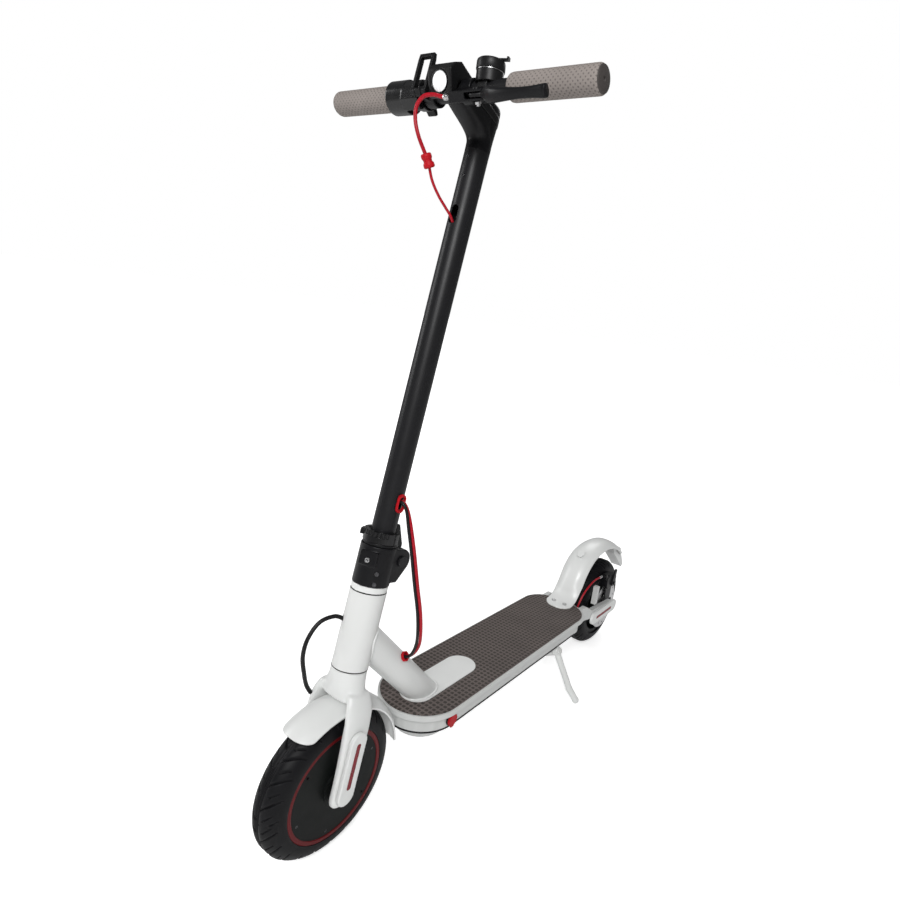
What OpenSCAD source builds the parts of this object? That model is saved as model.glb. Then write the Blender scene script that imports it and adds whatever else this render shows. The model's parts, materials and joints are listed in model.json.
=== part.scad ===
// Electric kick scooter: folding stem, hub motor in front, disc brake at the rear.
// +X is forward, +Y is the rider's left, +Z is up; the origin is on the ground.

/* [Wheels] */
// Distance between the two axles
wheelbase = 849; // [800:1:950]
// Outer diameter of both tyres
tyre_d = 216; // [200:1:240]
// Width of both tyres
tyre_w = 52; // [46:1:56]
// Radius of the rim's outer edge
rim_r = 81; // [76:1:86]
// Half width of the motor's flat side covers
motor_half = 23; // [18:1:24]
// Radius of both axles
axle_r = 6; // [5:0.5:7]
// Radius of the brake disc
disc_r = 60; // [52:1:66]

/* [Steering] */
// Angle of the steering axis from the vertical
rake = 11; // [8:0.5:15]
// How far the front axle sits behind the steering axis
axle_back = 5.5; // [0:0.5:10]
// Height of the head tube's lower edge along the steering axis, above the axle
head_low = 168; // [160:1:185]
// Length of the head tube
head_len = 111; // [90:1:120]
// Outer radius of the head tube
head_r = 26; // [24:0.5:30]
// Radius of the steerer inside the head tube
steerer_r = 15; // [13:0.5:16]
// Inner face of each fork leg from the middle
leg_in = 31.5; // [30:0.5:36]
// Thickness of each fork leg
leg_t = 14.5; // [10:0.5:18]

/* [Stem and handlebar] */
// Outer radius of the stem tube
stem_r = 17.25; // [15:0.25:20]
// Wall of the stem tube
stem_wall = 2.25; // [1.5:0.25:3]
// Length of the stem tube
stem_len = 555; // [450:1:600]
// How far the handlebar sits in front of the stem's axis
bar_ahead = 70; // [55:1:80]
// Overall width over the grips
bar_width = 430; // [400:1:520]
// Radius of the handlebar tube
bar_r = 11.1; // [10:0.1:13]
// Radius of the grips
grip_r = 16.5; // [15:0.5:18]
// Length of the left grip
grip_len = 123; // [90:1:140]
// Length of the right grip
grip_len_right = 111; // [80:1:130]

/* [Deck] */
// Length of the foot mat
mat_len = 556; // [450:1:600]
// Width of the foot mat
mat_w = 143; // [130:1:180]
// Height of the foot mat's top above the ground
mat_z = 157; // [140:1:170]
// Gap between the front axle and the mat's front end
mat_gap = 128; // [122:1:150]
// Thickness of the foot mat
mat_t = 2; // [1.5:0.5:4]
// Width of the deck's rim outside the mat, each side
rim_w = 3.5; // [2:0.5:6]
// Height of the deck's side walls below the mat
wall_h = 36; // [30:1:45]
// Depth of the cover below the side walls
tub_h = 25; // [18:1:30]
// Radius of the sloping tube between the deck and the head tube
down_r = 24; // [20:1:27]

/* [Hidden] */
$fn = 64;

run_fit = 0.05;      // radial clearance of shafts and pins
gap = 0.4;           // clearance between pieces that move past each other

axle_z = tyre_d / 2;
tread_flat = 1.2;     // how much the round section of the tyre is cut flat at the tread
tail_back = 137;     // tail of the rear fender behind the rear axle
front_x = (wheelbase + tail_back - tyre_d / 2) / 2;
rear_x = front_x - wheelbase;

// Steering frame: local Z runs up the steering axis, local X points forward
head_high = head_low + head_len;
hinge_low = head_high + 10.2;            // underside of the hinge base
hinge_split = hinge_low + 56.5;          // where the stem's foot meets the base
pin_x = -25;                             // hinge pin behind the steering axis
pin_z = hinge_split - 19.5;
stem_low = hinge_split + 4.2;
stem_high = stem_low + stem_len;
bar_z = stem_high + 41;
grip_end = bar_width / 2;
brake_tilt = 40;                         // the brake lever points forward and down

// Deck
deck_top = mat_z - mat_t;
rim_half = mat_w / 2 + rim_w;
wall_half = rim_half - 9;
wall_low = deck_top - wall_h + 2;
tub_low = wall_low - tub_h;
tub_half = wall_half - 20;
mat_front = front_x - mat_gap;
nose_x = mat_front - mat_w / 2;          // centre of the round front end
mat_rear = mat_front - mat_len;
tray_rear = mat_rear - 6;
arm_root = mat_rear - 14;                // where the rear arms leave the deck
skin = 3;                                // wall of the deck tray and its cover
arm_in = 42;                             // inner face of the rear arms
arm_t = 11;

// Sloping tube from the island on the deck to the head tube
foot = [front_x - 191, 0, mat_z];
join = [front_x - 36, 0, axle_z + 213];
down_tilt = atan2(join[0] - foot[0], join[2] - foot[2]);
down_len = norm(join - foot);
island_r = 29;
island_front = front_x - 184;
island_rear = front_x - 297;

// Fenders, as rings about their wheels
fender_t = 3;
fender_half = 29;
front_fender_r = tyre_d / 2 + 16;      // leaves 6 mm to the deck at full lock
rear_fender_mid = [rear_x + 34, axle_z + 54];

// Kickstand
stand_pivot = [mat_rear + 131, 66, 110];
stand_axis = [0, 0.8876, 0.4606];
stand_r = 7;
stand_ball = stand_r + 0.6;      // the rounded bend and foot stand a little proud of the rod
stand_foot = [mat_rear + 107, 118, stand_ball];
stand_bend = [mat_rear + 110, 100, 28];

// Routes of the cables, in the steering frame
cable_r = 2.3;
lead_r = 3;
loop_shift = 2.7;
loop_top = [0, stem_r, 409];
// ---------------------------------------------------------------- helpers
module steer() {
  translate([front_x + axle_back * cos(rake), 0, axle_z + axle_back * sin(rake)])
    rotate([0, -rake, 0]) children();
}
module at_bar() steer() translate([bar_ahead, 0, bar_z]) children();
module at_brake() at_bar() rotate([0, brake_tilt, 0]) children();
module at_front() translate([front_x, 0, axle_z]) children();
module at_rear() translate([rear_x, 0, axle_z]) children();
module at_pin() steer() translate([pin_x, 0, pin_z]) children();

// A round bar along Y from y0 to y1
module bar_y(r, y0, y1) translate([0, y0, 0]) rotate([-90, 0, 0]) cylinder(r = r, h = y1 - y0);
module ring_y(r_out, r_in, y0, y1) {
  difference() {
    bar_y(r_out, y0, y1);
    bar_y(r_in, y0 - 1, y1 + 1);
  }
}
// A plate cut to a side view (X, Z), between y0 and y1
module plate_y(y0, y1) translate([0, y1, 0]) rotate([90, 0, 0]) linear_extrude(y1 - y0) children();
module both_sides() {
  children();
  mirror([0, 1, 0]) children();
}
// A turned shape about Y, its profile drawn as (radius, offset along Y)
module turned() rotate([90, 0, 0]) rotate_extrude($fn = 128) children();
module turned_arc(from, to) {
  rotate([90, 0, 0]) rotate([0, 0, from]) rotate_extrude(angle = to - from, $fn = 128) children();
}
module pill(x0, x1, r) {
  translate([x0, 0]) circle(r);
  translate([x1, 0]) circle(r);
  translate([min(x0, x1), -r]) square([abs(x1 - x0), 2 * r]);
}
// Points of a smooth curve through a route (Catmull-Rom), each span cut in n
function pt(p, i) = p[max(0, min(len(p) - 1, i))];
function spline(a, b, c, d, t) =
  0.5 * (2 * b + (c - a) * t + (2 * a - 5 * b + 4 * c - d) * t * t
  + (3 * b - a - 3 * c + d) * t * t * t);
function smooth(p, n) = concat(
  [for (i = [0:len(p) - 2], k = [0:n - 1])
    spline(pt(p, i - 1), p[i], p[i + 1], pt(p, i + 2), k / n)],
  [p[len(p) - 1]]);
function unit(v) = v / norm(v);
// A round cable swept along a route; side is a direction the route never takes
module cable(route, r, side, n = 5, sides = 8) {
  p = smooth(route, n);
  m = len(p);
  dirs = [for (i = [0:m - 1]) unit(pt(p, i + 1) - pt(p, i - 1))];
  rings = [for (i = [0:m - 1])
    let (a = unit(cross(dirs[i], side)), b = cross(dirs[i], a))
    for (j = [0:sides - 1]) p[i] + r * (cos(360 * j / sides) * a + sin(360 * j / sides) * b)];
  walls = [for (i = [0:m - 2], j = [0:sides - 1])
    let (k = (j + 1) % sides, q = i * sides)
    each [[q + j, q + sides + j, q + k], [q + k, q + sides + j, q + sides + k]]];
  caps = [[for (j = [0:sides - 1]) j], [for (j = [sides - 1:-1:0]) (m - 1) * sides + j]];
  polyhedron(rings, concat(walls, caps), convexity = 4);
}
module socket_screw(r, h, head_r, head_h) {
  difference() {
    union() {
      cylinder(r = r, h = h);
      translate([0, 0, h]) cylinder(r = head_r, h = head_h);
    }
    translate([0, 0, h + head_h * 0.4]) cylinder(r = head_r * 0.5, h = head_h, $fn = 6);
  }
}

// ---------------------------------------------------------------- frame
module down_tube(r, from = 0, to = down_len) {
  translate(foot) rotate([0, down_tilt, 0]) translate([0, 0, from]) cylinder(r = r, h = to - from);
}
module neck() color("white") {
  difference() {
    union() {
      steer() translate([0, 0, head_low]) cylinder(r = head_r, h = head_len);
      down_tube(down_r, -30);
      translate([0, 0, deck_top]) linear_extrude(mat_t + 1) pill(island_rear, island_front, island_r);
    }
    steer() translate([0, 0, head_low - 1]) cylinder(r = head_r - 4, h = head_len + 2);
    down_tube(down_r - 2.5, 8, down_len - 30);
    translate([foot[0] - 100, -50, deck_top - 60]) cube([200, 100, 60]);
    grommet_place() cylinder(r = grommet_r, h = 16, center = true);
    grommet_place() translate([0, 0, 0.5]) cylinder(r = 8.3, h = 8);
    steer() translate([0, 0, 232]) rotate([0, 0, -37]) rotate([0, 86, 0]) cylinder(r = 5, h = 40);
  }
}
// Where the cables enter the sloping tube, on its left shoulder
grommet_r = 6.4;
module grommet_place() translate([front_x - 117, 19, axle_z + 149.5]) rotate([-62, 0, 12]) children();

corner_in = 18;      // centres of the rounded rear corners, from the middle
corner_x = tray_rear + rim_half - corner_in;
module deck_half_round(half) {
  translate([nose_x, 0]) circle(half);
  translate([corner_x, -half]) square([nose_x - corner_x, 2 * half]);
  for (s = [-1, 1]) translate([corner_x, s * corner_in]) circle(half - corner_in);
  translate([corner_x - half + corner_in, -corner_in]) square([half, 2 * corner_in]);
}
module rear_arm() {
  plate_y(arm_in, arm_in + arm_t) {
    difference() {
      union() {
        translate([rear_x, axle_z]) circle(17);
        polygon([[rear_x, axle_z + 17], [arm_root - 40, deck_top - 20], [arm_root - 6, deck_top],
          [arm_root + 30, deck_top], [arm_root + 30, wall_low], [arm_root - 6, wall_low],
          [rear_x, axle_z - 17]]);
      }
      translate([rear_x, axle_z]) circle(axle_r + run_fit);
    }
  }
}
module deck_tray() color("gainsboro") {
  difference() {
    union() {
      translate([0, 0, deck_top - 9]) linear_extrude(9) deck_half_round(rim_half);
      translate([0, 0, wall_low]) linear_extrude(deck_top - 9 - wall_low) deck_half_round(wall_half);
      both_sides() rear_arm();
      // guide post for the brake cable, on the left arm
      translate([rear_x + 88, arm_in, axle_z + 38]) cube([12, arm_t, 44]);
    }
    translate([0, 0, wall_low - 1]) linear_extrude(deck_top - 5 - wall_low) deck_half_round(wall_half - skin);
    // the rear wall clears the tyre
    at_rear() bar_y(tyre_d / 2 + 12, -arm_in, arm_in);
    // lead of the charging socket
    translate([port_x, wall_half - 8, port_z]) rotate([-90, 0, 0]) cylinder(r = 9, h = 20);
    // the rear brake cable and the fender's screws pass through the top
    translate([rear_x + 160.5, 36.5, deck_top - 9]) cylinder(r = 3.6, h = 12);
    for (s = [-1, 1]) translate([arm_root + 34, s * 14, deck_top - 6]) cylinder(r = 2.5 + run_fit, h = 7);
    // feet of the neck's bolts
    for (x = [island_rear, island_front - 70]) translate([x, 0, deck_top - 6]) cylinder(r = 3, h = 7);
  }
}
module deck_mat() color("dimgray") {
  translate([0, 0, deck_top]) linear_extrude(mat_t) difference() {
    union() {
      translate([nose_x, 0]) circle(mat_w / 2);
      translate([mat_rear + 54, -mat_w / 2]) square([nose_x - mat_rear - 54, mat_w]);
      for (s = [-1, 1]) translate([mat_rear + 54, s * (mat_w / 2 - 54)]) circle(54);
      translate([mat_rear, 54 - mat_w / 2]) square([60, mat_w - 108]);
    }
    pill(island_rear, island_front, island_r + gap);
    pill(fender_toe - fender_half, tray_rear - 20, fender_half + gap);
  }
}
// Side view of the cover, from the middle out: top, wall, slope and floor
module tub_section(half, low) {
  polygon([[0, low], [half - 20, low], [half, low + tub_h], [0, low + tub_h]]);
}
module tub_solid(inset, low) {
  intersection() {
    translate([nose_x, 0, 0]) {
      rotate_extrude($fn = 128) tub_section(wall_half - 2 - inset, low);
      rotate([90, 0, -90]) linear_extrude(nose_x - tray_rear)
        union() {
          tub_section(wall_half - 2 - inset, low);
          mirror([1, 0]) tub_section(wall_half - 2 - inset, low);
        }
    }
    linear_extrude(400) deck_half_round(wall_half - 2 - inset);
  }
}
module bottom_cover() color("dimgray") {
  difference() {
    tub_solid(0, tub_low);
    tub_solid(skin, tub_low + skin);
    at_rear() bar_y(tyre_d / 2 + 12, -arm_in, arm_in);
    at_stand() translate([0, 0, -6.4]) cylinder(r = 9.6, h = 20);
    for (x = [nose_x - 20, (nose_x + tray_rear) / 2, tray_rear + 70], s = [-1, 1])
      translate([x, s * (tub_half - 8), tub_low - 1]) cylinder(r = 2.5, h = skin + 2);
  }
}
battery_len = 330;
module battery_pack() color("royalblue") {
  translate([nose_x - 20 - battery_len, -32, tub_low + skin]) cube([battery_len, 72, 48]);
}
module controller() color("seagreen") {
  translate([tray_rear + 24, -32, tub_low + skin]) cube([70, 64, 30]);
}
port_x = front_x - 196;
port_z = deck_top - 21;
cap_drop = 11.5;      // the cap's hinge below the middle of the socket
module charge_socket() color("black") {
  translate([port_x, 0, port_z]) difference() {
    union() {
      bar_y(9, wall_half - 16, wall_half);
      bar_y(11, wall_half, wall_half + 2.5);
    }
    bar_y(5.5, wall_half - 13, wall_half + 3);
  }
}
module charge_cap() color("red") {
  translate([port_x, 0, port_z]) {
    bar_y(10.5, wall_half + 2.5 + gap, wall_half + 6.5);
    translate([-3, wall_half + 2.5 + gap, -cap_drop]) cube([6, 3.4, 6]);
    translate([-3.5, wall_half + 4.7, -cap_drop]) rotate([0, 90, 0]) cylinder(r = 1.7, h = 7);
  }
}
module headset_bearings() color("silver") {
  steer() for (z = [head_low + 1, head_high - 13]) translate([0, 0, z]) difference() {
    cylinder(r = head_r - 4, h = 12);
    translate([0, 0, -1]) cylinder(r = steerer_r + run_fit, h = 14);
  }
}
// Rear fender: an arc over the wheel and a flat toe screwed to the deck
fender_toe = arm_root + 58;
rear_fender_r = 117;
tail_angle = 134;
module rear_arc(from, to) {
  translate([rear_fender_mid[0], 0, rear_fender_mid[1]]) turned_arc(from, to) children();
}
// Crowned section of a fender whose crown is at radius r
module fender_section(r, half) {
  crown = 44;
  drop = crown - sqrt(crown * crown - half * half);
  intersection() {
    translate([r - crown, 0]) difference() {
      circle(crown);
      circle(crown - fender_t);
    }
    translate([r - drop, -half - 5]) square([drop + 5, 2 * half + 10]);
  }
}
module rear_fender() color("white") {
  rear_arc(1, tail_angle) fender_section(rear_fender_r, fender_half + 3);
  difference() {
    translate([0, 0, deck_top]) linear_extrude(fender_t + 1)
      pill(fender_toe - fender_half, arm_root + 8, fender_half);
    for (s = [-1, 1]) translate([arm_root + 34, s * 14, deck_top - 1]) cylinder(r = 2.6, h = 9);
    rear_arc(-20, 60) translate([0, -60]) square([rear_fender_r, 120]);
  }
}
module on_rear_fender(angle) {
  translate([rear_fender_mid[0], 0, rear_fender_mid[1]]) rotate([0, 90 - angle, 0])
    translate([0, 0, rear_fender_r]) children();
}
module fender_catch() color("white") {
  on_rear_fender(53) {
    cylinder(r = 6, h = 8);
    translate([0, 0, 8]) cylinder(r = 9.5, h = 4);
    translate([3, -6, 8]) cube([9, 12, 4]);
  }
}
module tail_light() color("white") {
  difference() {
    at_rear() plate_y(-15, 15)
      polygon([[-48, 140], [-76, 134], [-104, 121], [-tail_back, 68], [-131, 60], [-66, 112]]);
    rear_arc(90, tail_angle) translate([0, -60]) square([rear_fender_r, 120]);
    at_rear() plate_y(-20, 20) polygon([[-74, 120], [-84, 128], [-98, 118], [-112, 96]]);
    at_rear() translate([-110, 0, 104]) rotate([0, -122, 0]) cylinder(r = 8.5, h = 30);
  }
}
module frame_screws() color("silver") {
  for (s = [-1, 1]) translate([arm_root + 34, s * 14, deck_top - 4])
    socket_screw(2.5, 8, 5, 2.5);
  for (x = [nose_x - 20, (nose_x + tray_rear) / 2, tray_rear + 70], s = [-1, 1])
    translate([x, s * (tub_half - 8), tub_low + skin]) rotate([180, 0, 0]) socket_screw(2.4, skin, 4.5, 2);
}

// ---------------------------------------------------------------- rear wheel
cap_in = arm_in + arm_t;
module cap_outline(r) translate([rear_x, axle_z + 4]) pill(-8, 100, r);
module arm_caps() color("white") {
  both_sides() difference() {
    plate_y(cap_in, cap_in + 7) cap_outline(14.5);
    at_rear() bar_y(11, cap_in - 1, cap_in + 5.4);
    plate_y(cap_in + 6.2, cap_in + 8) translate([rear_x, axle_z + 4]) pill(12, 88, 3.5);
  }
}
module rear_reflectors() color("darkred") {
  both_sides() plate_y(cap_in + 6.2, cap_in + 7.2) translate([rear_x, axle_z + 4]) pill(12, 88, 3.5);
}
module rear_axle() color("silver") {
  at_rear() {
    bar_y(axle_r, -cap_in - 5, cap_in + 5);
    both_sides() translate([0, cap_in, 0]) rotate([-90, 0, 0]) cylinder(r = 9, h = 4.5, $fn = 6);
    bar_y(9, disc_y + 2 + gap, arm_in - 3.5);
    bar_y(9, -arm_in, -hub_end - gap);
  }
}
disc_y = 34;         // inner face of the brake disc
hub_end = 31;        // right end of the rear hub
bearing_r = 13;
module rear_rim() color("black") {
  at_rear() difference() {
    union() {
      ring_y(rim_r, rim_r - 11, -motor_half, motor_half);
      bar_y(rim_r - 10, -4, 4);
      bar_y(22, -hub_end, disc_y);
    }
    bar_y(bearing_r, disc_y - 10, disc_y + 1);
    bar_y(bearing_r, -hub_end - 1, -hub_end + 10);
    bar_y(axle_r + 2, -40, 40);
    for (a = [0:45:315]) rotate([0, a, 0]) translate([46, 0, 0]) bar_y(13, -6, 6);
  }
}
module rear_bearings() color("silver") {
  at_rear() {
    ring_y(bearing_r, axle_r + run_fit, disc_y - 10, disc_y);
    ring_y(bearing_r, axle_r + run_fit, -hub_end, -hub_end + 10);
  }
}
module tyre() {
  turned() difference() {
    intersection() {
      translate([tyre_d / 2 - tyre_w / 2 + tread_flat, 0]) circle(tyre_w / 2);
      translate([rim_r, -60]) square([tyre_d / 2 - rim_r, 120]);
    }
    translate([tyre_d / 2 - tyre_w / 2, 0]) circle(tyre_w / 2 - 4.5);
  }
}
module rear_tyre() color("black") at_rear() tyre();
module brake_disc() color("silver") {
  at_rear() difference() {
    bar_y(disc_r, disc_y, disc_y + 2);
    bar_y(axle_r + 3.5, disc_y - 1, disc_y + 3);
    for (a = [0:60:300]) rotate([0, a, 0]) {
      translate([34, 0, 0]) bar_y(9, disc_y - 1, disc_y + 3);
      rotate([0, 15, 0]) translate([50, 0, 0]) bar_y(2.5, disc_y - 1, disc_y + 3);
      rotate([0, 40, 0]) translate([53, 0, 0]) bar_y(2.5, disc_y - 1, disc_y + 3);
      rotate([0, 30, 0]) translate([17, 0, 0]) bar_y(2.2, disc_y - 1, disc_y + 3);
    }
  }
}
caliper_pivot = [4, 66];
caliper_out = 49;
module brake_caliper() color("black") {
  at_rear() {
    difference() {
      union() {
        plate_y(28.5, caliper_out)
          polygon([[-16, 50], [22, 50], [34, 62], [34, 84], [20, 88], [-8, 88], [-20, 76]]);
        plate_y(39, arm_in) polygon([[-14, -13], [14, -13], [20, 60], [-16, 60]]);
        translate([caliper_pivot[0], 0, caliper_pivot[1]]) bar_y(4, caliper_out, caliper_out + 7);
        plate_y(37, 47) polygon([[26, 80], [38, 80], [44, 96], [36, 96]]);
      }
      bar_y(disc_r + 1.5, disc_y - 1, disc_y + 3);
      bar_y(disc_r - 12, 20, 38.9);
      bar_y(axle_r + run_fit, 20, 60);
      translate([30, 42, 90]) rotate([0, 90, 0]) cylinder(r = 3.2, h = 20);
      plate_y(43.5, 60) polygon([[-30, 40], [40, 40], [40, 54], [-30, 54]]);
    }
    translate([10, 0, 56]) bar_y(7, disc_y + 2.2, disc_y + 3);
  }
}
module caliper_arm() color("black") {
  at_rear() translate([caliper_pivot[0], 0, caliper_pivot[1]]) difference() {
    plate_y(caliper_out + gap, caliper_out + 4) union() {
      circle(8);
      translate([-6, 30]) circle(5);
      polygon([[-7, 2], [7, 2], [-1, 31], [-11, 29]]);
    }
    bar_y(4 + run_fit, 40, 60);
    translate([-6, 0, 30]) bar_y(1.6, 40, 60);
  }
}

// ---------------------------------------------------------------- kickstand
// Local frame of the kickstand's pivot, Z along its axis
module at_stand() translate(stand_pivot) rotate([acos(stand_axis[2]) * -1, 0, 0]) children();
module rod(a, b, r) {
  v = b - a;
  translate(a) rotate([0, acos(v[2] / norm(v)), atan2(v[1], v[0])]) cylinder(r = r, h = norm(v));
}
module kickstand_bracket() color("white") {
  difference() {
    at_stand() translate([0, 0, -32]) cylinder(r = 9, h = 25.4);
    tub_solid(0, tub_low);
    translate([0, 0, wall_low]) linear_extrude(60) deck_half_round(wall_half);
  }
  at_stand() translate([0, 0, -7]) cylinder(r = 4, h = 15);
  at_stand() translate([0, 0, 7.4]) cylinder(r = 6.5, h = 3);
}
module kickstand() color("white") {
  difference() {
    union() {
      at_stand() translate([0, 0, -6]) cylinder(r = 9, h = 13);
      rod(stand_pivot, stand_bend, stand_r);
      translate(stand_bend) sphere(r = stand_ball);
      rod(stand_bend, stand_foot, stand_r);
      translate(stand_foot) sphere(r = stand_ball);
    }
    at_stand() translate([0, 0, -20]) cylinder(r = 4 + run_fit, h = 40);
    at_stand() translate([0, 0, 7]) cylinder(r = 12, h = 20);
    at_stand() translate([0, 0, -26]) cylinder(r = 12, h = 20);
  }
}

// ---------------------------------------------------------------- fork
leg_out = leg_in + leg_t;
leg_x = -2;
module leg_side() {
  translate([leg_x, 0]) circle(15);
  polygon([[leg_x - 15, 0], [leg_x + 15, 0], [leg_x + 16, 60], [20, 118], [16, 136],
    [-14, 136], [-20, 118], [leg_x - 16, 60]]);
}
module fork() color("white") {
  steer() difference() {
    union() {
      hull() {
        translate([0, 0, head_low - 7]) cylinder(r = head_r - 0.5, h = 6, $fn = 48);
        translate([-17, -leg_out, 128]) cube([36, 2 * leg_out, 6]);
      }
      both_sides() plate_y(leg_in, leg_out) leg_side();
      translate([0, 0, head_low - 2]) cylinder(r = steerer_r, h = hinge_low + 12 - head_low);
    }
    translate([-axle_back, 0, 0]) bar_y(axle_r + run_fit, -60, 60);
    translate([-axle_back, 0, 0]) bar_y(front_fender_r, -leg_in, leg_in);
    cylinder(r = steerer_r - 3, h = 400);
  }
}
trim_out = leg_out + 6.5;
module trim_side(low, high, r) translate([1, 0]) rotate(90) pill(low, high, r);
module fork_trim() color("white") {
  steer() {
    both_sides() difference() {
      plate_y(leg_out, trim_out) trim_side(1, 78, 14);
      translate([-axle_back, 0, 0]) bar_y(10.5, leg_out - 1, leg_out + 5.2);
      plate_y(trim_out - 0.8, trim_out + 1) trim_side(14, 74, 3.4);
    }
    translate([0, 0, head_high + 1.2]) difference() {
      cylinder(r = head_r - 0.3, h = 9);
      translate([0, 0, -1]) cylinder(r = steerer_r, h = 12);
    }
  }
}
module front_reflectors() color("darkred") {
  steer() both_sides() plate_y(trim_out - 0.8, trim_out + 0.2) trim_side(14, 74, 3.4);
}
module front_fender() color("white") {
  at_front() turned_arc(56, 178) fender_section(front_fender_r, fender_half);
}
module motor_stator() color("silver") {
  at_front() {
    bar_y(axle_r, -leg_out - 5, leg_out + 5);
    bar_y(54, -13, 13);
    both_sides() translate([0, leg_out, 0]) rotate([-90, 0, 0]) cylinder(r = 9, h = 4.5, $fn = 6);
    both_sides() bar_y(9.5, motor_half + 5.5 + gap, leg_in);
  }
}
module motor_shell() color("black") {
  at_front() difference() {
    union() {
      bar_y(rim_r, -motor_half, motor_half);
      bar_y(rim_r - 5, -motor_half - 1.5, motor_half + 1.5);
      bar_y(24, -motor_half - 5, motor_half + 5);
    }
    bar_y(62, -14.5, 14.5);
    bar_y(axle_r + run_fit, -60, 60);
    both_sides() motor_screw_places() cylinder(r = 1.9, h = 8);
  }
}
module motor_screw_places() {
  for (a = [20:60:320]) rotate([0, a, 0]) translate([68, motor_half + 1.5, 0]) rotate([90, 0, 0]) children();
}
module motor_screws() color("silver") {
  at_front() both_sides() motor_screw_places() mirror([0, 0, 1]) translate([0, 0, -6])
    difference() {
      cylinder(r = 1.9, h = 6);
      translate([0, 0, 5]) cylinder(r = 1, h = 2, $fn = 6);
    }
}
module rim_rings() color("darkred") {
  at_front() both_sides() ring_y(rim_r - 0.2, rim_r - 5, motor_half, motor_half + 2);
}
module front_tyre() color("black") at_front() tyre();
module motor_cable() color("black") {
  steer() cable(motor_route, lead_r, [0, 1, 0], 6);
}
motor_route = [[18.5, -14, 232.5], [30, -22, 235], [48, -29, 226], [60, -31, 204], [60, -32, 178],
  [48, -34, 150], [36, -37, 130], [24, -38, 116]];

// ---------------------------------------------------------------- hinge
knuckle = 12;        // half width of the stem foot's knuckle
pin_r = 5;
boss_r = 17.5;
sleeve_h = 19;       // height of the socket that holds the stem
module hinge_base() color("black") {
  steer() difference() {
    union() {
      translate([0, 0, hinge_low]) cylinder(r = head_r + 0.3, h = hinge_split - hinge_low);
      both_sides() plate_y(knuckle + gap, 25) union() {
        translate([pin_x, pin_z]) circle(boss_r);
        polygon([[pin_x, pin_z + boss_r], [-6, pin_z + boss_r], [-6, hinge_low + 6],
          [-24, hinge_low + 6], [pin_x - 14.6, pin_z - 9.6]]);
      }
      // latch plate on the front
      rotate([0, 0, 18]) translate([0, -13, pin_z - 8]) cube([head_r + 1.8, 26, 20]);
    }
    translate([-80, -knuckle - gap, pin_z - boss_r])
      cube([80 + pin_x + boss_r + 0.5, 2 * (knuckle + gap), 100]);
    translate([0, 0, hinge_low - 1]) cylinder(r = steerer_r, h = 14);
    translate([pin_x, 0, pin_z]) bar_y(pin_r, -30, 30);
    hinge_screws() cylinder(r = 3.2, h = 6);
    // room for the folding lever
    at_fold_lever() translate([-fold_half - gap, -8, -5]) cube([2 * (fold_half + gap), 11, 50]);
    at_fold_lever() translate([-20, 0, 0]) rotate([0, 90, 0]) cylinder(r = fold_pin_r, h = 40);
  }
  // lugs of the folding lever
  steer() at_fold_lever() difference() {
    for (s = [-1, 1]) translate([s * (fold_half + 2.4) - 2, -2.6, -5]) cube([4, 10, 10]);
    translate([-20, 0, 0]) rotate([0, 90, 0]) cylinder(r = fold_pin_r, h = 40);
  }
}
// Folding lever, low on the right of the hinge base
fold_turn = -18;
fold_out = 29;
fold_pin_r = 1.5;
fold_half = 6;       // half width of the lever
module at_fold_lever() rotate([0, 0, fold_turn]) translate([0, -fold_out, hinge_low + 10]) children();
module hinge_screws() {
  for (z = [hinge_low + 5, hinge_low + 20]) rotate([0, 0, 54]) translate([head_r - 1.2, 0, z])
    rotate([0, 90, 0]) children();
}
module hinge_pin() color("silver") {
  at_pin() {
    bar_y(pin_r, -27, 27);
    both_sides() bar_y(8, 25, 28);
  }
}
module hinge_upper() color("black") {
  steer() difference() {
    union() {
      translate([0, 0, hinge_split + gap]) cylinder(r = 25, h = stem_low - hinge_split);
      translate([0, 0, hinge_split + gap]) cylinder(r = stem_r + 3.2, h = sleeve_h);
      translate([pin_x, 0, pin_z]) bar_y(boss_r - 0.7, -knuckle, knuckle);
      translate([pin_x - 8, -knuckle, pin_z]) cube([pin_x * -1 - 2, 2 * knuckle, hinge_split - pin_z + 3]);
      plate_y(-knuckle, knuckle)
        polygon([[-10, hinge_split + 2], [pin_x - 8, hinge_split + 2],
          [-19, hinge_split + sleeve_h + 12], [-10, hinge_split + sleeve_h + 12]]);
    }
    translate([0, 0, stem_low]) cylinder(r = stem_r, h = 60);
    translate([pin_x, 0, pin_z]) bar_y(pin_r + run_fit, -30, 30);
  }
}
ring_low = hinge_split + 5;
module safety_ring() color("black") {
  steer() difference() {
    union() {
      translate([0, 0, ring_low]) cylinder(r = 26, h = 15);
      rotate([0, 0, -60]) translate([24, -7, ring_low + 4]) cube([6, 14, 8]);
    }
    translate([0, 0, ring_low - 1]) cylinder(r = stem_r + 3.2 + run_fit + 0.1, h = 20);
    translate([-67, -60, ring_low - 1]) cube([60, 120, 20]);
    for (a = [-24:12:60]) rotate([0, 0, a]) translate([27.3, 0, ring_low + 8]) cylinder(r = 2.4, h = 8);
  }
}
module fold_lever() color("black") {
  steer() at_fold_lever() difference() {
    translate([-fold_half, 0, 0]) rotate([90, 0, 90]) linear_extrude(2 * fold_half) union() {
      circle(2.6);
      polygon([[-2.6, 0], [1.9, 0], [1.9, 36], [-0.5, 42], [-3, 42], [-2.2, 28]]);
    }
    translate([-20, 0, 0]) rotate([0, 90, 0]) cylinder(r = fold_pin_r + run_fit, h = 40);
  }
}
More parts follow.
